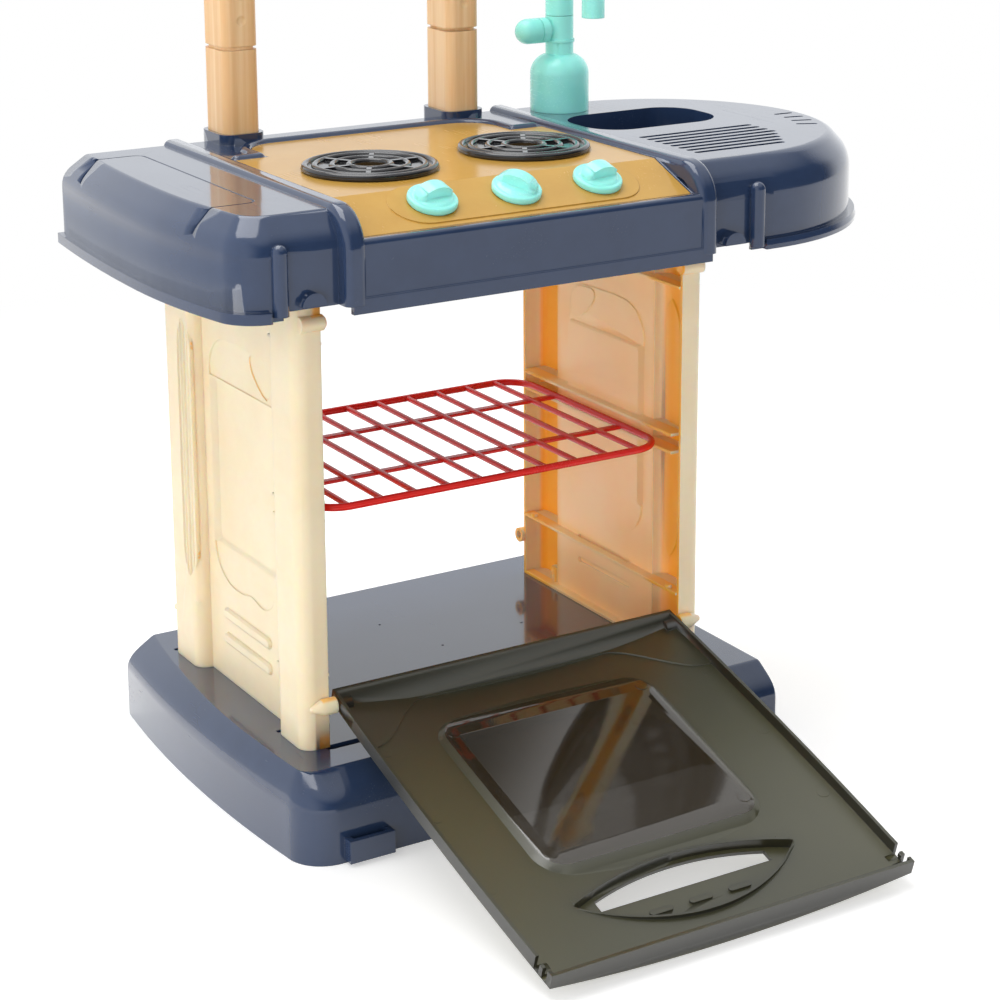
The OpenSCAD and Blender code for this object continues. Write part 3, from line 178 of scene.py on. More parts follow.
# %% Group: moulded surface
def build_moulded_surface():
    group, start, end = new_group(
        "moulded_surface",
        [("Vector", "vector", None), ("Edge Radius", "float", 0.0008), ("Ripple Size", "float", 0.05),
         ("Ripple Depth", "float", 0.3), ("Grain Size", "float", 0.0012), ("Grain Depth", "float", 0.02),
         ("Gloss Middle", "float", 0.2), ("Gloss Spread", "float", 0.1)],
        [("Normal", "vector"), ("Roughness", "float"), ("Cloud", "float")])
    ripple_scale = math_node(group, "DIVIDE", 1.0, start.outputs["Ripple Size"])
    grain_scale = math_node(group, "DIVIDE", 1.0, start.outputs["Grain Size"])
    ripple = node(group, "ShaderNodeTexNoise", Vector=start.outputs["Vector"], Scale=ripple_scale,
                  Detail=1.5, Roughness=0.4)
    grain = node(group, "ShaderNodeTexNoise", Vector=start.outputs["Vector"], Scale=grain_scale,
                 Detail=2.0, Roughness=0.6)
    cloud = node(group, "ShaderNodeTexNoise", Vector=start.outputs["Vector"], Scale=23.0,
                 Detail=5.0, Roughness=0.62)
    soft_edge = node(group, "ShaderNodeBevel", {"samples": 4}, Radius=start.outputs["Edge Radius"])
    slow = node(group, "ShaderNodeBump", Strength=start.outputs["Ripple Depth"], Distance=0.6 * mm,
                Height=ripple.outputs["Fac"], Normal=soft_edge.outputs["Normal"])
    fine = node(group, "ShaderNodeBump", Strength=start.outputs["Grain Depth"], Distance=0.2 * mm,
                Height=grain.outputs["Fac"], Normal=slow.outputs["Normal"])
    centred = math_node(group, "SUBTRACT", cloud.outputs["Fac"], 0.5)
    spread = math_node(group, "MULTIPLY", centred, start.outputs["Gloss Spread"])
    gloss = math_node(group, "ADD", start.outputs["Gloss Middle"], spread, clamp=True)
    group.links.new(fine.outputs["Normal"], end.inputs["Normal"])
    group.links.new(gloss, end.inputs["Roughness"])
    group.links.new(cloud.outputs["Fac"], end.inputs["Cloud"])
    return group


moulded_surface = build_moulded_surface()
print("group", moulded_surface.name)

# %% [markdown]
# ## Hairline scratches and dust
# A toy is wiped and leaned on, so its flat faces carry fine straight scratches, seen only
# as a change of gloss. A noise stretched a hundred times along one direction gives short
# lines, and two more, turned by some degrees, cross them. A slow noise keeps them in patches,
# because a toy is scratched where hands reach, not evenly all over.


# %% Group: hairline scratches
def build_hairline_scratches():
    group, start, end = new_group(
        "hairline_scratches",
        [("Vector", "vector", None), ("Fineness", "float", 900.0), ("Amount", "float", 0.5)],
        [("Mask", "float")])
    masks = []
    for turn, stretch in ((0.35, 0.012), (-0.9, 0.02), (1.35, 0.015)):
        turned = node(group, "ShaderNodeMapping", Vector=start.outputs["Vector"],
                      Rotation=(turn * 0.6, turn * 0.3, turn), Scale=(1.0, stretch, 1.0))
        lines = node(group, "ShaderNodeTexNoise", Vector=turned.outputs["Vector"],
                     Scale=start.outputs["Fineness"], Detail=0.0)
        masks.append(remap(group, lines.outputs["Fac"], 0.71, 0.78, smooth=False))
    patch = node(group, "ShaderNodeTexNoise", Vector=start.outputs["Vector"], Scale=31.0, Detail=2.0)
    where = remap(group, patch.outputs["Fac"], 0.45, 0.62)
    both = math_node(group, "MAXIMUM", masks[0], math_node(group, "MAXIMUM", masks[1], masks[2]))
    placed = math_node(group, "MULTIPLY", both, where)
    group.links.new(math_node(group, "MULTIPLY", placed, start.outputs["Amount"]), end.inputs["Mask"])
    return group


hairline_scratches = build_hairline_scratches()
print("group", hairline_scratches.name)

# %% [markdown]
# ## Settled dust
# Dark glossy plastic shows every speck. Dust lies where the surface faces up, so the mask
# reads the normal's Z in the part's own space, so that it turns with a part that moves. Two
# noises break it up: a fine one for the specks and a slow one for the thin film between
# them. A Voronoi texture drops a few dark crumbs, one in some of its cells.


# %% Group: settled dust
def build_settled_dust():
    group, start, end = new_group(
        "settled_dust", [("Vector", "vector", None), ("Facing", "vector", None), ("Amount", "float", 0.3)],
        [("Mask", "float"), ("Crumbs", "float")])
    split = node(group, "ShaderNodeSeparateXYZ", Vector=start.outputs["Facing"])
    upward = remap(group, split.outputs["Z"], 0.55, 0.95)
    specks = node(group, "ShaderNodeTexNoise", Vector=start.outputs["Vector"], Scale=1500.0, Detail=1.0)
    veil = node(group, "ShaderNodeTexNoise", Vector=start.outputs["Vector"], Scale=17.0, Detail=4.0)
    spotted = remap(group, specks.outputs["Fac"], 0.66, 0.74, smooth=False)
    film = remap(group, veil.outputs["Fac"], 0.4, 0.75, 0.0, 0.35)
    lying = math_node(group, "MULTIPLY", math_node(group, "ADD", spotted, film), upward)
    group.links.new(math_node(group, "MULTIPLY", lying, start.outputs["Amount"], clamp=True),
                    end.inputs["Mask"])
    cells = node(group, "ShaderNodeTexVoronoi", Vector=start.outputs["Vector"], Scale=24.0)
    chosen = node(group, "ShaderNodeSeparateColor", Color=cells.outputs["Color"])
    size = remap(group, chosen.outputs["Red"], 0.72, 1.0, 0.0, 0.022, smooth=False)
    inside = math_node(group, "LESS_THAN", cells.outputs["Distance"], size)
    group.links.new(math_node(group, "MULTIPLY", inside, upward), end.inputs["Crumbs"])
    return group


settled_dust = build_settled_dust()
print("group", settled_dust.name)

# %% [markdown]
# ## One recipe for moulded plastic
# All the plastics are a Principled shader with the three groups plugged in. What differs is
# the colour, how deep light goes in, and how much of each flaw there is, so those are the
# arguments. The colour itself drifts a few per cent with the slow cloud, because pigment
# never mixes quite evenly.


# %% Plastic recipe
def start_material(name):
    """A material, its tree and Principled shader, and its place and normal in the part's space."""
    material = bpy.data.materials.new(name)
    material.use_nodes = True
    tree = material.node_tree
    shader = tree.nodes["Principled BSDF"]
    coordinates = tree.nodes.new("ShaderNodeTexCoord")
    return material, tree, shader, coordinates.outputs["Object"], coordinates.outputs["Normal"]


def use_group(tree, group, **values):
    """Places a node group, with sockets named by words joined with underscores."""
    placed = tree.nodes.new("ShaderNodeGroup")
    placed.node_tree = group
    for key, value in values.items():
        socket = placed.inputs[key.replace("_", " ")]
        if isinstance(value, bpy.types.NodeSocket):
            tree.links.new(value, socket)
        else:
            socket.default_value = value
    return placed


crumb_colour = (0.012, 0.011, 0.010)
dulling = 0.35
coat_roughness = 0.06
plain_ior, calm_ior = 1.5, 1.42


def plastic(name, colour, deep_colour, gloss=0.18, spread=0.1, edge=0.8, ripple=0.05, ripple_depth=0.3,
            grain_depth=0.02, scratches=0.4, dust=0.3, dust_colour=(0.5, 0.5, 0.5), crumbs=0.0, coat=0.3):
    """A moulded plastic; deep_colour is where the pigment is denser. Returns its parts too."""
    material, tree, shader, place, facing = start_material(name)
    surface = use_group(tree, moulded_surface, Vector=place, Edge_Radius=edge * mm, Ripple_Size=ripple,
                        Ripple_Depth=ripple_depth, Grain_Depth=grain_depth, Gloss_Middle=gloss,
                        Gloss_Spread=spread)
    lines = use_group(tree, hairline_scratches, Vector=place, Amount=scratches)
    lying = use_group(tree, settled_dust, Vector=place, Facing=facing, Amount=dust)
    drift = remap(tree, surface.outputs["Cloud"], 0.3, 0.7)
    pigment = mix_colour(tree, drift, colour, deep_colour)
    filmed = mix_colour(tree, lying.outputs["Mask"], pigment, dust_colour)
    dusted = mix_colour(tree, math_node(tree, "MULTIPLY", lying.outputs["Crumbs"], crumbs), filmed,
                        crumb_colour)
    dull = math_node(tree, "MAXIMUM", lines.outputs["Mask"], lying.outputs["Mask"])
    rough = math_node(tree, "MULTIPLY_ADD", dull, dulling, surface.outputs["Roughness"], clamp=True)
    tree.links.new(dusted, shader.inputs["Base Color"])
    tree.links.new(rough, shader.inputs["Roughness"])
    tree.links.new(surface.outputs["Normal"], shader.inputs["Normal"])
    shader.inputs["Coat Weight"].default_value = coat
    shader.inputs["Coat Roughness"].default_value = coat_roughness
    shader.inputs["IOR"].default_value = plain_ior
    return {"material": material, "tree": tree, "shader": shader, "place": place, "facing": facing,
            "colour": dusted, "rough": rough}


print("plastic recipe ready")

# %% [markdown]
# ## Deep blue gloss
# Base, worktop, post caps and rail are one dark blue plastic with a polished skin. Under a
# studio light it is nearly black where it mirrors the dark, and milky where it mirrors the
# white walls, so the colour stays dark and the coat does the rest. Its refractive index and
# those of the tan and the red are a little low, which calms what they mirror in front.

# %% Deep blue, tan, turquoise, red and black plastics
navy = plastic("navy_plastic", (0.024, 0.045, 0.104), (0.020, 0.038, 0.090), gloss=0.15, spread=0.10,
               edge=0.8, ripple=0.06, ripple_depth=0.35, scratches=0.35, dust=0.08,
               dust_colour=(0.20, 0.21, 0.25), crumbs=0.9, coat=1.0)
tan = plastic("tan_plastic", (0.60, 0.345, 0.068), (0.56, 0.31, 0.055), gloss=0.18, spread=0.08, edge=0.5,
              ripple=0.07, ripple_depth=0.25, scratches=0.3, dust=0.08, dust_colour=(0.72, 0.6, 0.42),
              coat=0.0)
turquoise = plastic("turquoise_plastic", (0.36, 0.95, 0.88), (0.30, 0.89, 0.81), gloss=0.24, spread=0.10,
                    edge=0.9, ripple=0.02, ripple_depth=0.2, scratches=0.3, dust=0.06,
                    dust_colour=(0.6, 0.75, 0.72), coat=0.2)
red = plastic("red_plastic", (0.80, 0.020, 0.014), (0.72, 0.015, 0.011), gloss=0.24, spread=0.08, edge=0.6,
              ripple=0.03, ripple_depth=0.15, scratches=0.2, dust=0.04, dust_colour=(0.7, 0.3, 0.28),
              coat=0.0)
black = plastic("black_plastic", (0.009, 0.009, 0.011), (0.013, 0.013, 0.015), gloss=0.17, spread=0.08,
                edge=0.5, ripple=0.02, ripple_depth=0.2, scratches=0.3, dust=0.12,
                dust_colour=(0.2, 0.2, 0.2), coat=0.5)
for finish in (navy, tan, red):
    finish["shader"].inputs["IOR"].default_value = calm_ior
navy["shader"].inputs["Coat IOR"].default_value = calm_ior
for finish in (turquoise, red):
    finish["shader"].inputs["Subsurface Weight"].default_value = 0.12
    finish["shader"].inputs["Subsurface Scale"].default_value = 0.002
print("opaque plastics:", [f["material"].name for f in (navy, tan, turquoise, red, black)])

# %% [markdown]
# ## Cream walls that glow from inside
# The side walls are only two millimetres thick. Light that falls on the outside comes
# through, warm and orange, so the same plastic is cream outside and amber inside. Subsurface
# scattering does part of it, but a thin hollow wall needs help, so the rest is painted light:
# a mask finds the faces that look towards the middle of the oven, or lie on its ledges, and
# tints them amber, deepest in the pillars in front and behind, where the wall is thinnest.
# Faces to the front stay cream. The same faces glow a little, a painted glow that stands for
# the lamp light that comes through the wall.


# %% Cream plastic
inner_face = (0.1385, 0.1396)
panel_end = (0.054, 0.060)
pillar_start = (0.052, 0.070)


def paint_light_through_wall(finish, amber, deep_amber, strength, glow):
    """Paints the light through the wall as amber tint and glow on inward faces; it rewires the base
    colour.
    """
    tree = finish["tree"]
    turn = node(tree, "ShaderNodeSeparateXYZ", Vector=finish["facing"])
    spot = node(tree, "ShaderNodeSeparateXYZ", Vector=finish["place"])
    side = math_node(tree, "SIGN", spot.outputs["X"])
    inward = math_node(tree, "MULTIPLY", math_node(tree, "MULTIPLY", turn.outputs["X"], side), -1.0)
    looks_in = remap(tree, inward, 0.25, 0.75)
    width = math_node(tree, "ABSOLUTE", spot.outputs["X"])
    in_panel = remap(tree, width, *inner_face, 1.0, 0.0)
    length = math_node(tree, "ABSOLUTE", spot.outputs["Y"])
    between = remap(tree, length, *panel_end, 1.0, 0.0)
    not_front = remap(tree, math_node(tree, "ABSOLUTE", turn.outputs["Y"]), 0.35, 0.75, 0.75, 0.0)
    reached = math_node(tree, "MAXIMUM", between, not_front)
    not_out = remap(tree, inward, -0.75, -0.25)
    ledges = math_node(tree, "MULTIPLY", math_node(tree, "MULTIPLY", in_panel, reached), not_out)
    mask = math_node(tree, "MAXIMUM", looks_in, ledges)
    cloud = node(tree, "ShaderNodeTexNoise", Vector=finish["place"], Scale=14.0, Detail=3.0)
    uneven = remap(tree, cloud.outputs["Fac"], 0.3, 0.75, 0.0, 0.35)
    in_pillar = remap(tree, length, *pillar_start)
    warm = mix_colour(tree, math_node(tree, "MAXIMUM", uneven, in_pillar), amber, deep_amber)
    # Painted light: the light that comes through the wall, as an amber base colour and an amber glow.
    tinted = mix_colour(tree, math_node(tree, "MULTIPLY", mask, strength), finish["colour"], warm)
    tree.links.new(tinted, finish["shader"].inputs["Base Color"])
    let_through = mix_colour(tree, mask, (0.0, 0.0, 0.0), warm)
    tree.links.new(let_through, finish["shader"].inputs["Emission Color"])
    finish["shader"].inputs["Emission Strength"].default_value = glow


cream = plastic("cream_plastic", (0.86, 0.73, 0.52), (0.83, 0.69, 0.475), gloss=0.36, spread=0.14,
                edge=1.2, ripple=0.05, ripple_depth=0.3, grain_depth=0.05, scratches=0.3, dust=0.12,
                dust_colour=(0.7, 0.64, 0.52), coat=0.12)
paint_light_through_wall(cream, (0.93, 0.66, 0.36), (0.97, 0.43, 0.025), 0.95, glow=0.09)
cream["shader"].inputs["Subsurface Weight"].default_value = 0.6
cream["shader"].inputs["Subsurface Radius"].default_value = (1.0, 0.55, 0.25)
cream["shader"].inputs["Subsurface Scale"].default_value = 0.005
print("cream plastic ready")

# %% [markdown]
# ## Posts with a drawn wood tint
# The posts are cream plastic that has been tinted to suggest wood: long upright streaks
# that run from pale cream at the corners to light brown on the faces. A noise squeezed in X
# and Y and stretched in Z gives the streaks, and a second, wider one varies the tone.


# %% Post plastic
def add_upright_streaks(finish, pale, brown):
    """Mixes long vertical streaks into the base colour."""
    tree = finish["tree"]
    stretched = node(tree, "ShaderNodeMapping", Vector=finish["place"], Scale=(1.0, 1.0, 0.03))
    streak = node(tree, "ShaderNodeTexNoise", Vector=stretched.outputs["Vector"], Scale=260.0, Detail=4.0,
                  Roughness=0.55)
    broad = node(tree, "ShaderNodeTexNoise", Vector=stretched.outputs["Vector"], Scale=60.0, Detail=2.0)
    tone = math_node(tree, "ADD", math_node(tree, "MULTIPLY", streak.outputs["Fac"], 0.45),
                     math_node(tree, "MULTIPLY", broad.outputs["Fac"], 0.55))
    amount = remap(tree, tone, 0.36, 0.62)
    tree.links.new(mix_colour(tree, amount, pale, brown), finish["shader"].inputs["Base Color"])


post_plastic = plastic("post_plastic", (0.82, 0.64, 0.40), (0.8, 0.6, 0.36), gloss=0.36, spread=0.12,
                       edge=1.2, ripple=0.05, ripple_depth=0.2, grain_depth=0.05, scratches=0.25,
                       dust=0.05, coat=0.1)
add_upright_streaks(post_plastic, (0.88, 0.62, 0.36), (0.77, 0.47, 0.22))
post_plastic["shader"].inputs["Subsurface Weight"].default_value = 0.15
post_plastic["shader"].inputs["Subsurface Scale"].default_value = 0.004
print("post plastic ready")

# %% [markdown]
# ## Smoked door
# The door is a thin sheet of smoke-brown plastic. Its field came from a matt mould: it hides
# nearly all that lies behind it and shines only softly. The pane in the middle was polished,
# so it is clearer, darker and mirrors like glass. Both are one Principled shader, and a mask
# built from a rounded box in the door's own plane sets Alpha and Roughness. Alpha is chosen
# over true transmission, because a sheet this thin hardly bends light, and because lamps
# shine through it onto the floor. The sheet's narrow edges and steps let the least light
# through, so a second mask, from the normal, paints shade on them: a dark colour and more
# cover. The matt field also passes light without passing a picture, which a Translucent
# shader does: it stays dark over the base and glows softly over the bright floor. The
# refractive index is set high, because the sheet mirrors with both its faces at once.


# %% Smoked plastic
door_tilt = math.radians(16.14)
hinge = next(joint for joint in frame["joints"] if joint["name"] == "door_hinge")
pane_blur, edge_blur = 0.8 * mm, 1.1 * mm


def pane_mask(tree, place, hinge_point, tilt, half_width, near_edge, far_edge, corner):
    """One inside the door's rounded pane, found in the door's own tilted plane."""
    turned = node(tree, "ShaderNodeMapping", {"vector_type": "POINT"}, Vector=place)
    back = Matrix.Rotation(-tilt, 4, "X") @ Matrix.Translation(-Vector(hinge_point))
    turned.inputs["Location"].default_value = back.to_translation()
    turned.inputs["Rotation"].default_value = back.to_euler()
    flat = node(tree, "ShaderNodeSeparateXYZ", Vector=turned.outputs["Vector"])
    middle_y = (near_edge + far_edge) / 2
    half_length = abs(near_edge - far_edge) / 2
    offset = math_node(tree, "SUBTRACT", flat.outputs["Y"], middle_y)
    beyond = [math_node(tree, "MAXIMUM", math_node(tree, "SUBTRACT", math_node(tree, "ABSOLUTE", reach),
                                                   size - corner), 0.0)
              for reach, size in ((flat.outputs["X"], half_width), (offset, half_length))]
    squares = [math_node(tree, "MULTIPLY", length, length) for length in beyond]
    distance = math_node(tree, "SQRT", math_node(tree, "ADD", squares[0], squares[1]))
    return remap(tree, distance, corner - pane_blur, corner, 1.0, 0.0)


def edge_on_mask(tree, sheet_normal, width):
    """One on the steps and narrow edges of the sheet, fading out over width beside them."""
    rounded = node(tree, "ShaderNodeBevel", {"samples": 6}, Radius=width)
    own = node(tree, "ShaderNodeVectorTransform", {"vector_type": "NORMAL", "convert_from": "WORLD",
                                                   "convert_to": "OBJECT"}, Vector=rounded.outputs[0])
    along = node(tree, "ShaderNodeVectorMath", {"operation": "DOT_PRODUCT"}, i0=own.outputs[0],
                 i1=sheet_normal)
    return remap(tree, math_node(tree, "ABSOLUTE", along.outputs["Value"]), 0.35, 0.96, 1.0, 0.0)


smoked = plastic("smoked_plastic", (0.030, 0.032, 0.017), (0.025, 0.027, 0.015), gloss=0.34, spread=0.08,
                 edge=0.3, ripple=0.05, ripple_depth=0.12, grain_depth=0.05, scratches=0.25, dust=0.10,
                 dust_colour=(0.16, 0.15, 0.12), coat=0.0)
smoked_tree, smoked_shader = smoked["tree"], smoked["shader"]
polished = pane_mask(smoked_tree, smoked["place"], hinge["pos_m"], door_tilt, half_width=77 * mm,
                     near_edge=-34.9 * mm, far_edge=-176.9 * mm, corner=16 * mm)
edge_on = edge_on_mask(smoked_tree, (0.0, -math.sin(door_tilt), math.cos(door_tilt)), edge_blur)
pane_colour = mix_colour(smoked_tree, polished, smoked["colour"], (0.026, 0.016, 0.006))
# Painted shade: the sheet's steps and narrow edges are darkened in the base colour.
smoke_with_painted_edge_shade = mix_colour(smoked_tree, edge_on, pane_colour, (0.010, 0.010, 0.007))
smoked_tree.links.new(smoke_with_painted_edge_shade, smoked_shader.inputs["Base Color"])
pane_polish = 0.30
sheen = math_node(smoked_tree, "MULTIPLY_ADD", polished, -pane_polish, smoked["rough"], clamp=True)
smoked_tree.links.new(sheen, smoked_shader.inputs["Roughness"])
field_cover, pane_cover, added_at_edges = 0.94, 0.83, 0.4
cover = math_node(smoked_tree, "MULTIPLY_ADD", polished, pane_cover - field_cover, field_cover)
smoked_tree.links.new(math_node(smoked_tree, "MULTIPLY_ADD", edge_on, added_at_edges, cover, clamp=True),
                      smoked_shader.inputs["Alpha"])
two_face_ior = 1.95
smoked_shader.inputs["IOR"].default_value = two_face_ior
milky = node(smoked_tree, "ShaderNodeBsdfTranslucent", Color=(0.78, 0.74, 0.42, 1.0))
matt_field = math_node(smoked_tree, "MULTIPLY", math_node(smoked_tree, "SUBTRACT", 1.0, polished),
                       math_node(smoked_tree, "SUBTRACT", 1.0, edge_on))
pane_milk, field_milk = 0.06, 0.23
milkiness = math_node(smoked_tree, "MULTIPLY_ADD", matt_field, field_milk - pane_milk, pane_milk)
sheet = node(smoked_tree, "ShaderNodeMixShader", i0=milkiness, i1=smoked_shader.outputs[0],
             i2=milky.outputs[0])
smoked_tree.links.new(sheet.outputs[0], smoked_tree.nodes["Material Output"].inputs["Surface"])
print("smoked plastic ready")

# %% [markdown]
# ## Zinc-plated screws
# The screws and the knobs' spring clips are plated steel: fully metallic, with fine turning
# marks. Rings in the noise would need a centre for each screw, so a fine noise stands in
# for them, which at this size reads the same.

# %% Screw steel
steel, steel_tree, steel_shader, steel_place, _ = start_material("screw_steel")
steel_surface = use_group(steel_tree, moulded_surface, Vector=steel_place, Edge_Radius=0.3 * mm,
                          Ripple_Size=0.004, Ripple_Depth=0.2, Grain_Size=0.0004, Grain_Depth=0.1,
                          Gloss_Middle=0.34, Gloss_Spread=0.2)
steel_tint = mix_colour(steel_tree, steel_surface.outputs["Cloud"], (0.56, 0.57, 0.60), (0.46, 0.46, 0.47))
steel_tree.links.new(steel_tint, steel_shader.inputs["Base Color"])
steel_tree.links.new(steel_surface.outputs["Roughness"], steel_shader.inputs["Roughness"])
steel_tree.links.new(steel_surface.outputs["Normal"], steel_shader.inputs["Normal"])
steel_shader.inputs["Metallic"].default_value = 1.0
print("screw steel ready")

# %% [markdown]
# ## Smooth skins for the CAD parts
# A CAD node arrives as loose triangles, so every facet would show. Each one is copied, its
# doubles are merged, and its faces are shaded smooth except across real edges. Weighted
# normals keep the large flat faces flat beside their small rounded edges. The door's field
# is part of a cylinder two metres across in long thin triangles, whose averaged normals show
# as teeth, so it gets the cylinder's own normals. Each copy has its node's exact shape.


# %% Skin maker
merge_distance = 0.002 * mm
flat_enough, crease = math.radians(0.06), math.radians(32)
door_radius, door_axis_height = 1028 * mm, 1015.89 * mm
sheet_above, sheet_below = 3.9 * mm, 0.5 * mm
nearly_parallel = 0.9985


def settle_on_cylinder(mesh):
    """Gives the corners that lie on the door's big cylinder the cylinder's exact normal."""
    turn = Matrix.Rotation(door_tilt, 3, "X")
    axis = turn @ Vector((0, 1, 0))
    centre = Vector(hinge["pos_m"]) + turn @ Vector((0, 0, door_axis_height))
    normals = [Vector(corner.vector) for corner in mesh.corner_normals]
    for face in mesh.polygons:
        spokes = []
        for vertex in face.vertices:
            spoke = centre - mesh.vertices[vertex].co
            spokes.append(spoke - axis * spoke.dot(axis))
        if all(door_radius - sheet_above < spoke.length < door_radius + sheet_below
               and abs(spoke.normalized().dot(face.normal)) > nearly_parallel for spoke in spokes):
            for loop, spoke in zip(face.loop_indices, spokes):
                normals[loop] = spoke.normalized() * (1 if spoke.dot(face.normal) > 0 else -1)
    mesh.normals_split_custom_set(normals)


def smooth_piece(name, shape, material):
    """A linked object from a bmesh, which it frees, shaded smooth except across creases."""
    mesh = bpy.data.meshes.new(name)
    shape.to_mesh(mesh)
    shape.free()
    mesh.shade_smooth()
    mesh.set_sharp_from_angle(angle=crease)
    mesh.materials.append(material)
    piece = bpy.data.objects.new(name, mesh)
    bpy.context.scene.collection.objects.link(piece)
    return piece


def keep_flats_flat(piece, mode):
    """Weights the piece's normals by the area of the faces, keeping its creases."""
    weighted = piece.modifiers.new("flat_faces_stay_flat", "WEIGHTED_NORMAL")
    weighted.keep_sharp = True
    weighted.mode = mode


def skin_of(node_name, material):
    """A merged, smooth-shaded copy of a CAD node that replaces it and rides on its body."""
    source = frame["nodes"][node_name]
    shape = bmesh.new()
    shape.from_mesh(source.data)
    bmesh.ops.remove_doubles(shape, verts=shape.verts, dist=merge_distance)
    bmesh.ops.dissolve_degenerate(shape, edges=shape.edges, dist=merge_distance)
    bmesh.ops.dissolve_limit(shape, angle_limit=flat_enough, verts=shape.verts, edges=shape.edges)
    skin = smooth_piece(node_name + "_skin", shape, material)
    if node_name == "oven_door":
        settle_on_cylinder(skin.data)
    else:
        keep_flats_flat(skin, "FACE_AREA_WITH_ANGLE")
    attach(skin, source["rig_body"])
    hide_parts(node_name)
    return skin


slot_of = {part["node"]: part["material_slot"] for part in frame["record"]["subparts"]}
finish_of_slot = {
    "navy_plastic": navy["material"], "cream_plastic": cream["material"], "tan_plastic": tan["material"],
    "post_plastic": post_plastic["material"], "turquoise_plastic": turquoise["material"],
    "red_plastic": red["material"], "smoked_plastic": smoked["material"],
    "black_plastic": black["material"], "screw_steel": steel,
}
drawn_by_rule = {"oven_rack"}
skins = {node_name: skin_of(node_name, finish_of_slot[slot_name])
         for node_name, slot_name in slot_of.items() if node_name not in drawn_by_rule}
print(len(skins), "skins made")

# %% [markdown]
# ## The base's right end
# The photographed base ends upright on its right, with its slope only in front, while the
# CAD base slopes there too. The upright end is drawn here, fitted over the solid: the base's
# own front profile is read from the CAD mesh as a hull, pushed out by a tenth of a
# millimetre, drawn along X to the base's full width, and rounded at its outer end.


# %% Upright right end
def right_end_of_base(material, inner=150.6 * mm, proud=0.1 * mm, rounding=2.4 * mm,
                      slope_above=30 * mm, slope_before=-100 * mm):
    """A closed block over the base's right slope, from inner outwards; rides on the frame."""
    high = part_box("base_shell")[1]
    points = [point.co for point in frame["nodes"]["base_shell"].data.vertices]
    chain = [(co.y - proud, co.z + proud) for co in points
             if co.z > slope_above and co.y < slope_before]
    front = min(y for y, z in chain)
    top = max(z for y, z in chain)
    rear = high[1] + proud
    chain += [(front, proud), (rear, proud), (rear, top)]
    outline = [chain[i] for i in convex_hull_2d([Vector(pair) for pair in chain])]
    shape = bmesh.new()
    ends = [[shape.verts.new((x, y, z)) for y, z in outline] for x in (inner, high[0] + proud)]
    shape.faces.new(ends[0])
    outer = shape.faces.new(ends[1][::-1])
    count = len(outline)
    for i in range(count):
        j = (i + 1) % count
        shape.faces.new((ends[0][j], ends[0][i], ends[1][i], ends[1][j]))
    bmesh.ops.recalc_face_normals(shape, faces=shape.faces)
    bmesh.ops.bevel(shape, geom=list(outer.edges), offset=rounding, segments=4, profile=0.5,
                    affect="EDGES", clamp_overlap=True)
    end = smooth_piece("base_right_end", shape, material)
    keep_flats_flat(end, "FACE_AREA")
    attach(end, "frame")
    return end


right_end = right_end_of_base(navy["material"])
print("base right end:", len(right_end.data.polygons), "faces")

# %% [markdown]
# ## The rack, drawn by rule
# The rack is one red moulding: a round wire bent into a rounded rectangle, ten slim bars
# from front to back, and two flat bars that tie them together from below. All of it follows
# a rule, so Geometry Nodes draw it: a filleted rectangle is swept with a circle, and one
# soft-cornered bar is placed on a row of points, once for each direction. The outer sizes
# come from the CAD rack's own box, so the drawn rack keeps to it exactly.


# %% Row of bars
def bar_row(tree, size, count, pitch, shift, level, along_x):
    """Straight bars with soft corners in a row; size holds length, width and height sockets."""
    half = math_node(tree, "MULTIPLY", size[0], 0.5)
    axis, across = ("X", "Y") if along_x else ("Y", "X")
    ends = [node(tree, "ShaderNodeCombineXYZ", **{axis: math_node(tree, "MULTIPLY", half, side)})
            for side in (-1.0, 1.0)]
    line = node(tree, "GeometryNodeCurvePrimitiveLine", Start=ends[0].outputs[0], End=ends[1].outputs[0])
    outline = node(tree, "GeometryNodeCurvePrimitiveQuadrilateral", Width=size[1], Height=size[2])
    soft = node(tree, "GeometryNodeFilletCurve", {"mode": "POLY"}, Curve=outline.outputs[0], Count=4,
                Radius=math_node(tree, "MULTIPLY", math_node(tree, "MINIMUM", size[1], size[2]), 0.34))
    bar = node(tree, "GeometryNodeCurveToMesh", i0=line.outputs[0], i1=soft.outputs[0])
    bar.inputs["Fill Caps"].default_value = True
    reach = math_node(tree, "MULTIPLY", math_node(tree, "SUBTRACT", count, 1.0), pitch)
    first = math_node(tree, "MULTIPLY_ADD", reach, -0.5, shift)
    start = node(tree, "ShaderNodeCombineXYZ", Z=level, **{across: first})
    step = node(tree, "ShaderNodeCombineXYZ", **{across: pitch})
    row = node(tree, "GeometryNodeMeshLine", {"mode": "OFFSET"}, Count=count, Offset=step.outputs[0],
               **{"Start Location": start.outputs[0]})
    return node(tree, "GeometryNodeInstanceOnPoints", Points=row.outputs[0], Instance=bar.outputs[0])


print("bar rows ready")


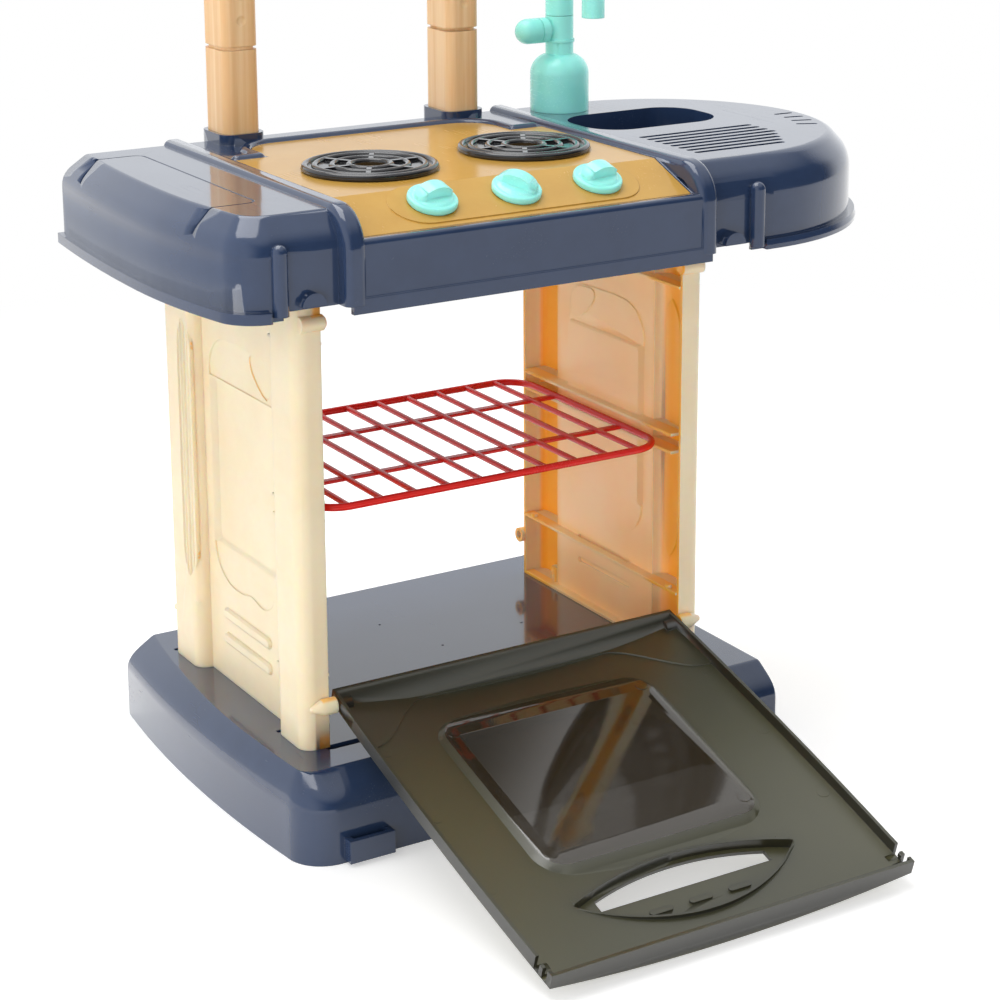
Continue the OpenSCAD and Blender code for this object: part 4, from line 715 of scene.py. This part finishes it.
# %% Rack tree
def build_wire_rack(material):
    tree = bpy.data.node_groups.new("wire_rack", "GeometryNodeTree")
    numbers = ("Width", "Depth", "Corner Radius", "Wire Radius", "Long Pitch", "Long Width", "Long Height",
               "Long Level", "Tie Pitch", "Tie Shift", "Tie Width", "Tie Height", "Tie Level")
    for label in numbers:
        tree.interface.new_socket(label, in_out="INPUT", socket_type="NodeSocketFloat")
    for label in ("Long Count", "Tie Count"):
        tree.interface.new_socket(label, in_out="INPUT", socket_type="NodeSocketInt")
    tree.interface.new_socket("Rack", in_out="OUTPUT", socket_type="NodeSocketGeometry")
    size, end = tree.nodes.new("NodeGroupInput").outputs, tree.nodes.new("NodeGroupOutput")
    path = node(tree, "GeometryNodeCurvePrimitiveQuadrilateral", Width=size["Width"], Height=size["Depth"])
    bent = node(tree, "GeometryNodeFilletCurve", {"mode": "POLY"}, Curve=path.outputs[0], Count=14,
                Radius=size["Corner Radius"])
    section = node(tree, "GeometryNodeCurvePrimitiveCircle", Resolution=20, Radius=size["Wire Radius"])
    wire = node(tree, "GeometryNodeCurveToMesh", i0=bent.outputs[0], i1=section.outputs[0])
    bars = bar_row(tree, (size["Depth"], size["Long Width"], size["Long Height"]), size["Long Count"],
                   size["Long Pitch"], 0.0, size["Long Level"], False)
    ties = bar_row(tree, (size["Width"], size["Tie Width"], size["Tie Height"]), size["Tie Count"],
                   size["Tie Pitch"], size["Tie Shift"], size["Tie Level"], True)
    joined = tree.nodes.new("GeometryNodeJoinGeometry")
    for part in (ties, bars, wire):
        tree.links.new(part.outputs[0], joined.inputs[0])
    real = node(tree, "GeometryNodeRealizeInstances", Geometry=joined.outputs[0])
    smooth = node(tree, "GeometryNodeSetShadeSmooth", Geometry=real.outputs[0])
    finished = node(tree, "GeometryNodeSetMaterial", Geometry=smooth.outputs[0], Material=material)
    tree.links.new(finished.outputs[0], end.inputs[0])
    return tree


wire_rack = build_wire_rack(red["material"])
print("geometry tree", wire_rack.name, "with", len(wire_rack.nodes), "nodes")


# %% Rack from its tree
def mesh_from_tree(name, tree, place, **sizes):
    """Runs a geometry tree once and keeps its result as a plain mesh, moved to its place."""
    carrier = bpy.data.objects.new(name + "_carrier", bpy.data.meshes.new(name + "_empty"))
    bpy.context.scene.collection.objects.link(carrier)
    run = carrier.modifiers.new("rule", "NODES")
    run.node_group = tree
    identifiers = {item.name: item.identifier for item in tree.interface.items_tree
                   if item.item_type == "SOCKET" and item.in_out == "INPUT"}
    for label, value in sizes.items():
        run[identifiers[label.replace("_", " ")]] = value
    evaluated = carrier.evaluated_get(bpy.context.evaluated_depsgraph_get())
    mesh = bpy.data.meshes.new_from_object(evaluated)
    carrier.modifiers.remove(run)
    bpy.data.objects.remove(carrier)
    mesh.name = name
    mesh.transform(Matrix.Translation(place))
    made = bpy.data.objects.new(name, mesh)
    bpy.context.scene.collection.objects.link(made)
    return made


rack_low, rack_high = (Vector(corner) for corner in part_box("oven_rack"))
rack_size = rack_high - rack_low
wire_radius = rack_size.z / 2
rack = mesh_from_tree(
    "oven_rack_bars", wire_rack, (rack_low + rack_high) / 2,
    Width=rack_size.x - 2 * wire_radius, Depth=rack_size.y - 2 * wire_radius, Corner_Radius=22.6 * mm,
    Wire_Radius=wire_radius, Long_Pitch=24 * mm, Long_Width=3.4 * mm, Long_Height=3.4 * mm,
    Long_Level=0.1 * mm, Long_Count=10, Tie_Pitch=85 * mm, Tie_Shift=2.5 * mm, Tie_Width=6 * mm,
    Tie_Height=2.2 * mm, Tie_Level=-1.3 * mm, Tie_Count=2)
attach(rack, "rack")
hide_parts("oven_rack")
print("rack drawn with", len(rack.data.polygons), "faces")

# %% [markdown]
# ## Floor, backdrop and light
# The picture is a plain studio shot: white all round, with a soft shadow where the toy
# stands. The floor is lit like anything else, and only what the camera or a reflection sees
# of it is lifted towards white, so the object itself gets no extra light. What shiny parts
# mirror is white too, but darker towards the front, where the photographer stands: that
# dark side is what makes a gloss readable.


# %% Floor
paper_glow = 0.42
fade_start, fade_end = 0.55, 1.3


def make_floor():
    """A large sheet of paper that fades to plain white away from the object."""
    half = 4.0
    corners = [(-half, -half, 0), (half, -half, 0), (half, half, 0), (-half, half, 0)]
    mesh = bpy.data.meshes.new("studio_floor")
    mesh.from_pydata(corners, [], [(0, 1, 2, 3)])
    floor = bpy.data.objects.new("studio_floor", mesh)
    bpy.context.scene.collection.objects.link(floor)
    material, tree, shader, place, _ = start_material("studio_paper")
    shader.inputs["Base Color"].default_value = (0.82, 0.82, 0.82, 1.0)
    shader.inputs["Roughness"].default_value = 0.75
    shader.inputs["Specular IOR Level"].default_value = 0.15
    ray = tree.nodes.new("ShaderNodeLightPath")
    mirrored = math_node(tree, "MAXIMUM", ray.outputs["Is Glossy Ray"], ray.outputs["Is Transmission Ray"])
    seen = math_node(tree, "MAXIMUM", ray.outputs["Is Camera Ray"], mirrored)
    glow = node(tree, "ShaderNodeEmission", Color=(1.0, 1.0, 1.0, 1.0))
    tree.links.new(math_node(tree, "MULTIPLY", seen, paper_glow), glow.inputs["Strength"])
    both = node(tree, "ShaderNodeAddShader", i0=shader.outputs[0], i1=glow.outputs[0])
    white = node(tree, "ShaderNodeEmission", Color=(1.0, 1.0, 1.0, 1.0), Strength=1.0)
    away = node(tree, "ShaderNodeVectorMath", {"operation": "LENGTH"}, i0=place)
    far = math_node(tree, "MULTIPLY", remap(tree, away.outputs["Value"], fade_start, fade_end), seen)
    fade = node(tree, "ShaderNodeMixShader", i0=far, i1=both.outputs[0], i2=white.outputs[0])
    tree.links.new(fade.outputs[0], tree.nodes["Material Output"].inputs["Surface"])
    mesh.materials.append(material)


make_floor()
print("floor made")

# %% [markdown]
# ## World and lamps
# The world is a white room. It lights diffuse surfaces evenly, is plain white behind the
# object, and is bright above, to the left and behind in reflections, but dark on the
# photographer's side. Five soft boxes add direction: most light comes from above and the
# left, so the fronts stay a shade darker, as they are in the picture. Only the overhead box
# shows in the gloss, because the real lamps stood outside what the toy mirrors.


# %% World and lamps
# The left side, the rear and the ceiling: a direction, and the dots between which white rises
white_sides = (((-0.9, 0.1, 0.2), 0.0, 0.80), ((0.15, 1.0, 0.0), 0.0, 0.35), ((0.0, 0.0, 1.0), 0.40, 0.90))
dark_room = 0.06


def make_world():
    world = bpy.data.worlds.new("studio_world")
    bpy.context.scene.world = world
    world.use_nodes = True
    tree = world.node_tree
    tree.nodes.clear()
    ray = tree.nodes.new("ShaderNodeLightPath")
    direction = tree.nodes.new("ShaderNodeTexCoord").outputs["Generated"]
    panels = []
    for aim, low, high in white_sides:
        towards = node(tree, "ShaderNodeVectorMath", {"operation": "DOT_PRODUCT"}, i0=direction, i1=aim)
        panels.append(remap(tree, towards.outputs["Value"], low, high, dark_room, 1.0))
    bright = math_node(tree, "MAXIMUM", panels[0], math_node(tree, "MAXIMUM", panels[1], panels[2]))
    diffuse = node(tree, "ShaderNodeBackground", Color=(1.0, 0.99, 0.97, 1.0), Strength=0.50)
    mirrored = node(tree, "ShaderNodeBackground", Color=(0.95, 0.97, 1.0, 1.0), Strength=bright)
    white = node(tree, "ShaderNodeBackground", Color=(1.0, 1.0, 1.0, 1.0), Strength=1.0)
    soft = node(tree, "ShaderNodeMixShader", i0=ray.outputs["Is Glossy Ray"], i1=diffuse.outputs[0],
                i2=mirrored.outputs[0])
    seen = math_node(tree, "MAXIMUM", ray.outputs["Is Camera Ray"], ray.outputs["Is Transmission Ray"])
    mixed = node(tree, "ShaderNodeMixShader", i0=seen, i1=soft.outputs[0], i2=white.outputs[0])
    out = tree.nodes.new("ShaderNodeOutputWorld")
    tree.links.new(mixed.outputs[0], out.inputs["Surface"])


def soft_box(name, place, aim, size, power, mirrored):
    """A rectangular area lamp that looks at a point; gloss shows it only if mirrored."""
    data = bpy.data.lights.new(name, "AREA")
    data.shape = "RECTANGLE"
    data.size, data.size_y = size
    data.energy = power
    lamp = bpy.data.objects.new(name, data)
    lamp.location = place
    lamp.rotation_euler = (Vector(aim) - Vector(place)).to_track_quat("-Z", "Y").to_euler()
    lamp.visible_glossy = mirrored
    bpy.context.scene.collection.objects.link(lamp)


make_world()
middle = (0.0, 0.0, 0.25)
for name, place, size, power, mirrored in (
        ("overhead_box", (-0.3, 0.3, 1.9), (1.6, 1.2), 20, True),
        ("left_box", (-2.0, 0.2, 0.9), (1.2, 1.6), 13, False),
        ("front_left_box", (-1.6, -1.5, 0.45), (1.2, 0.9), 13, False),
        ("front_box", (0.6, -2.3, 1.1), (1.6, 1.2), 4, False),
        ("right_box", (2.0, 0.4, 0.9), (1.2, 1.4), 18, False)):
    soft_box(name, place, middle, size, power, mirrored)
print("studio lit")
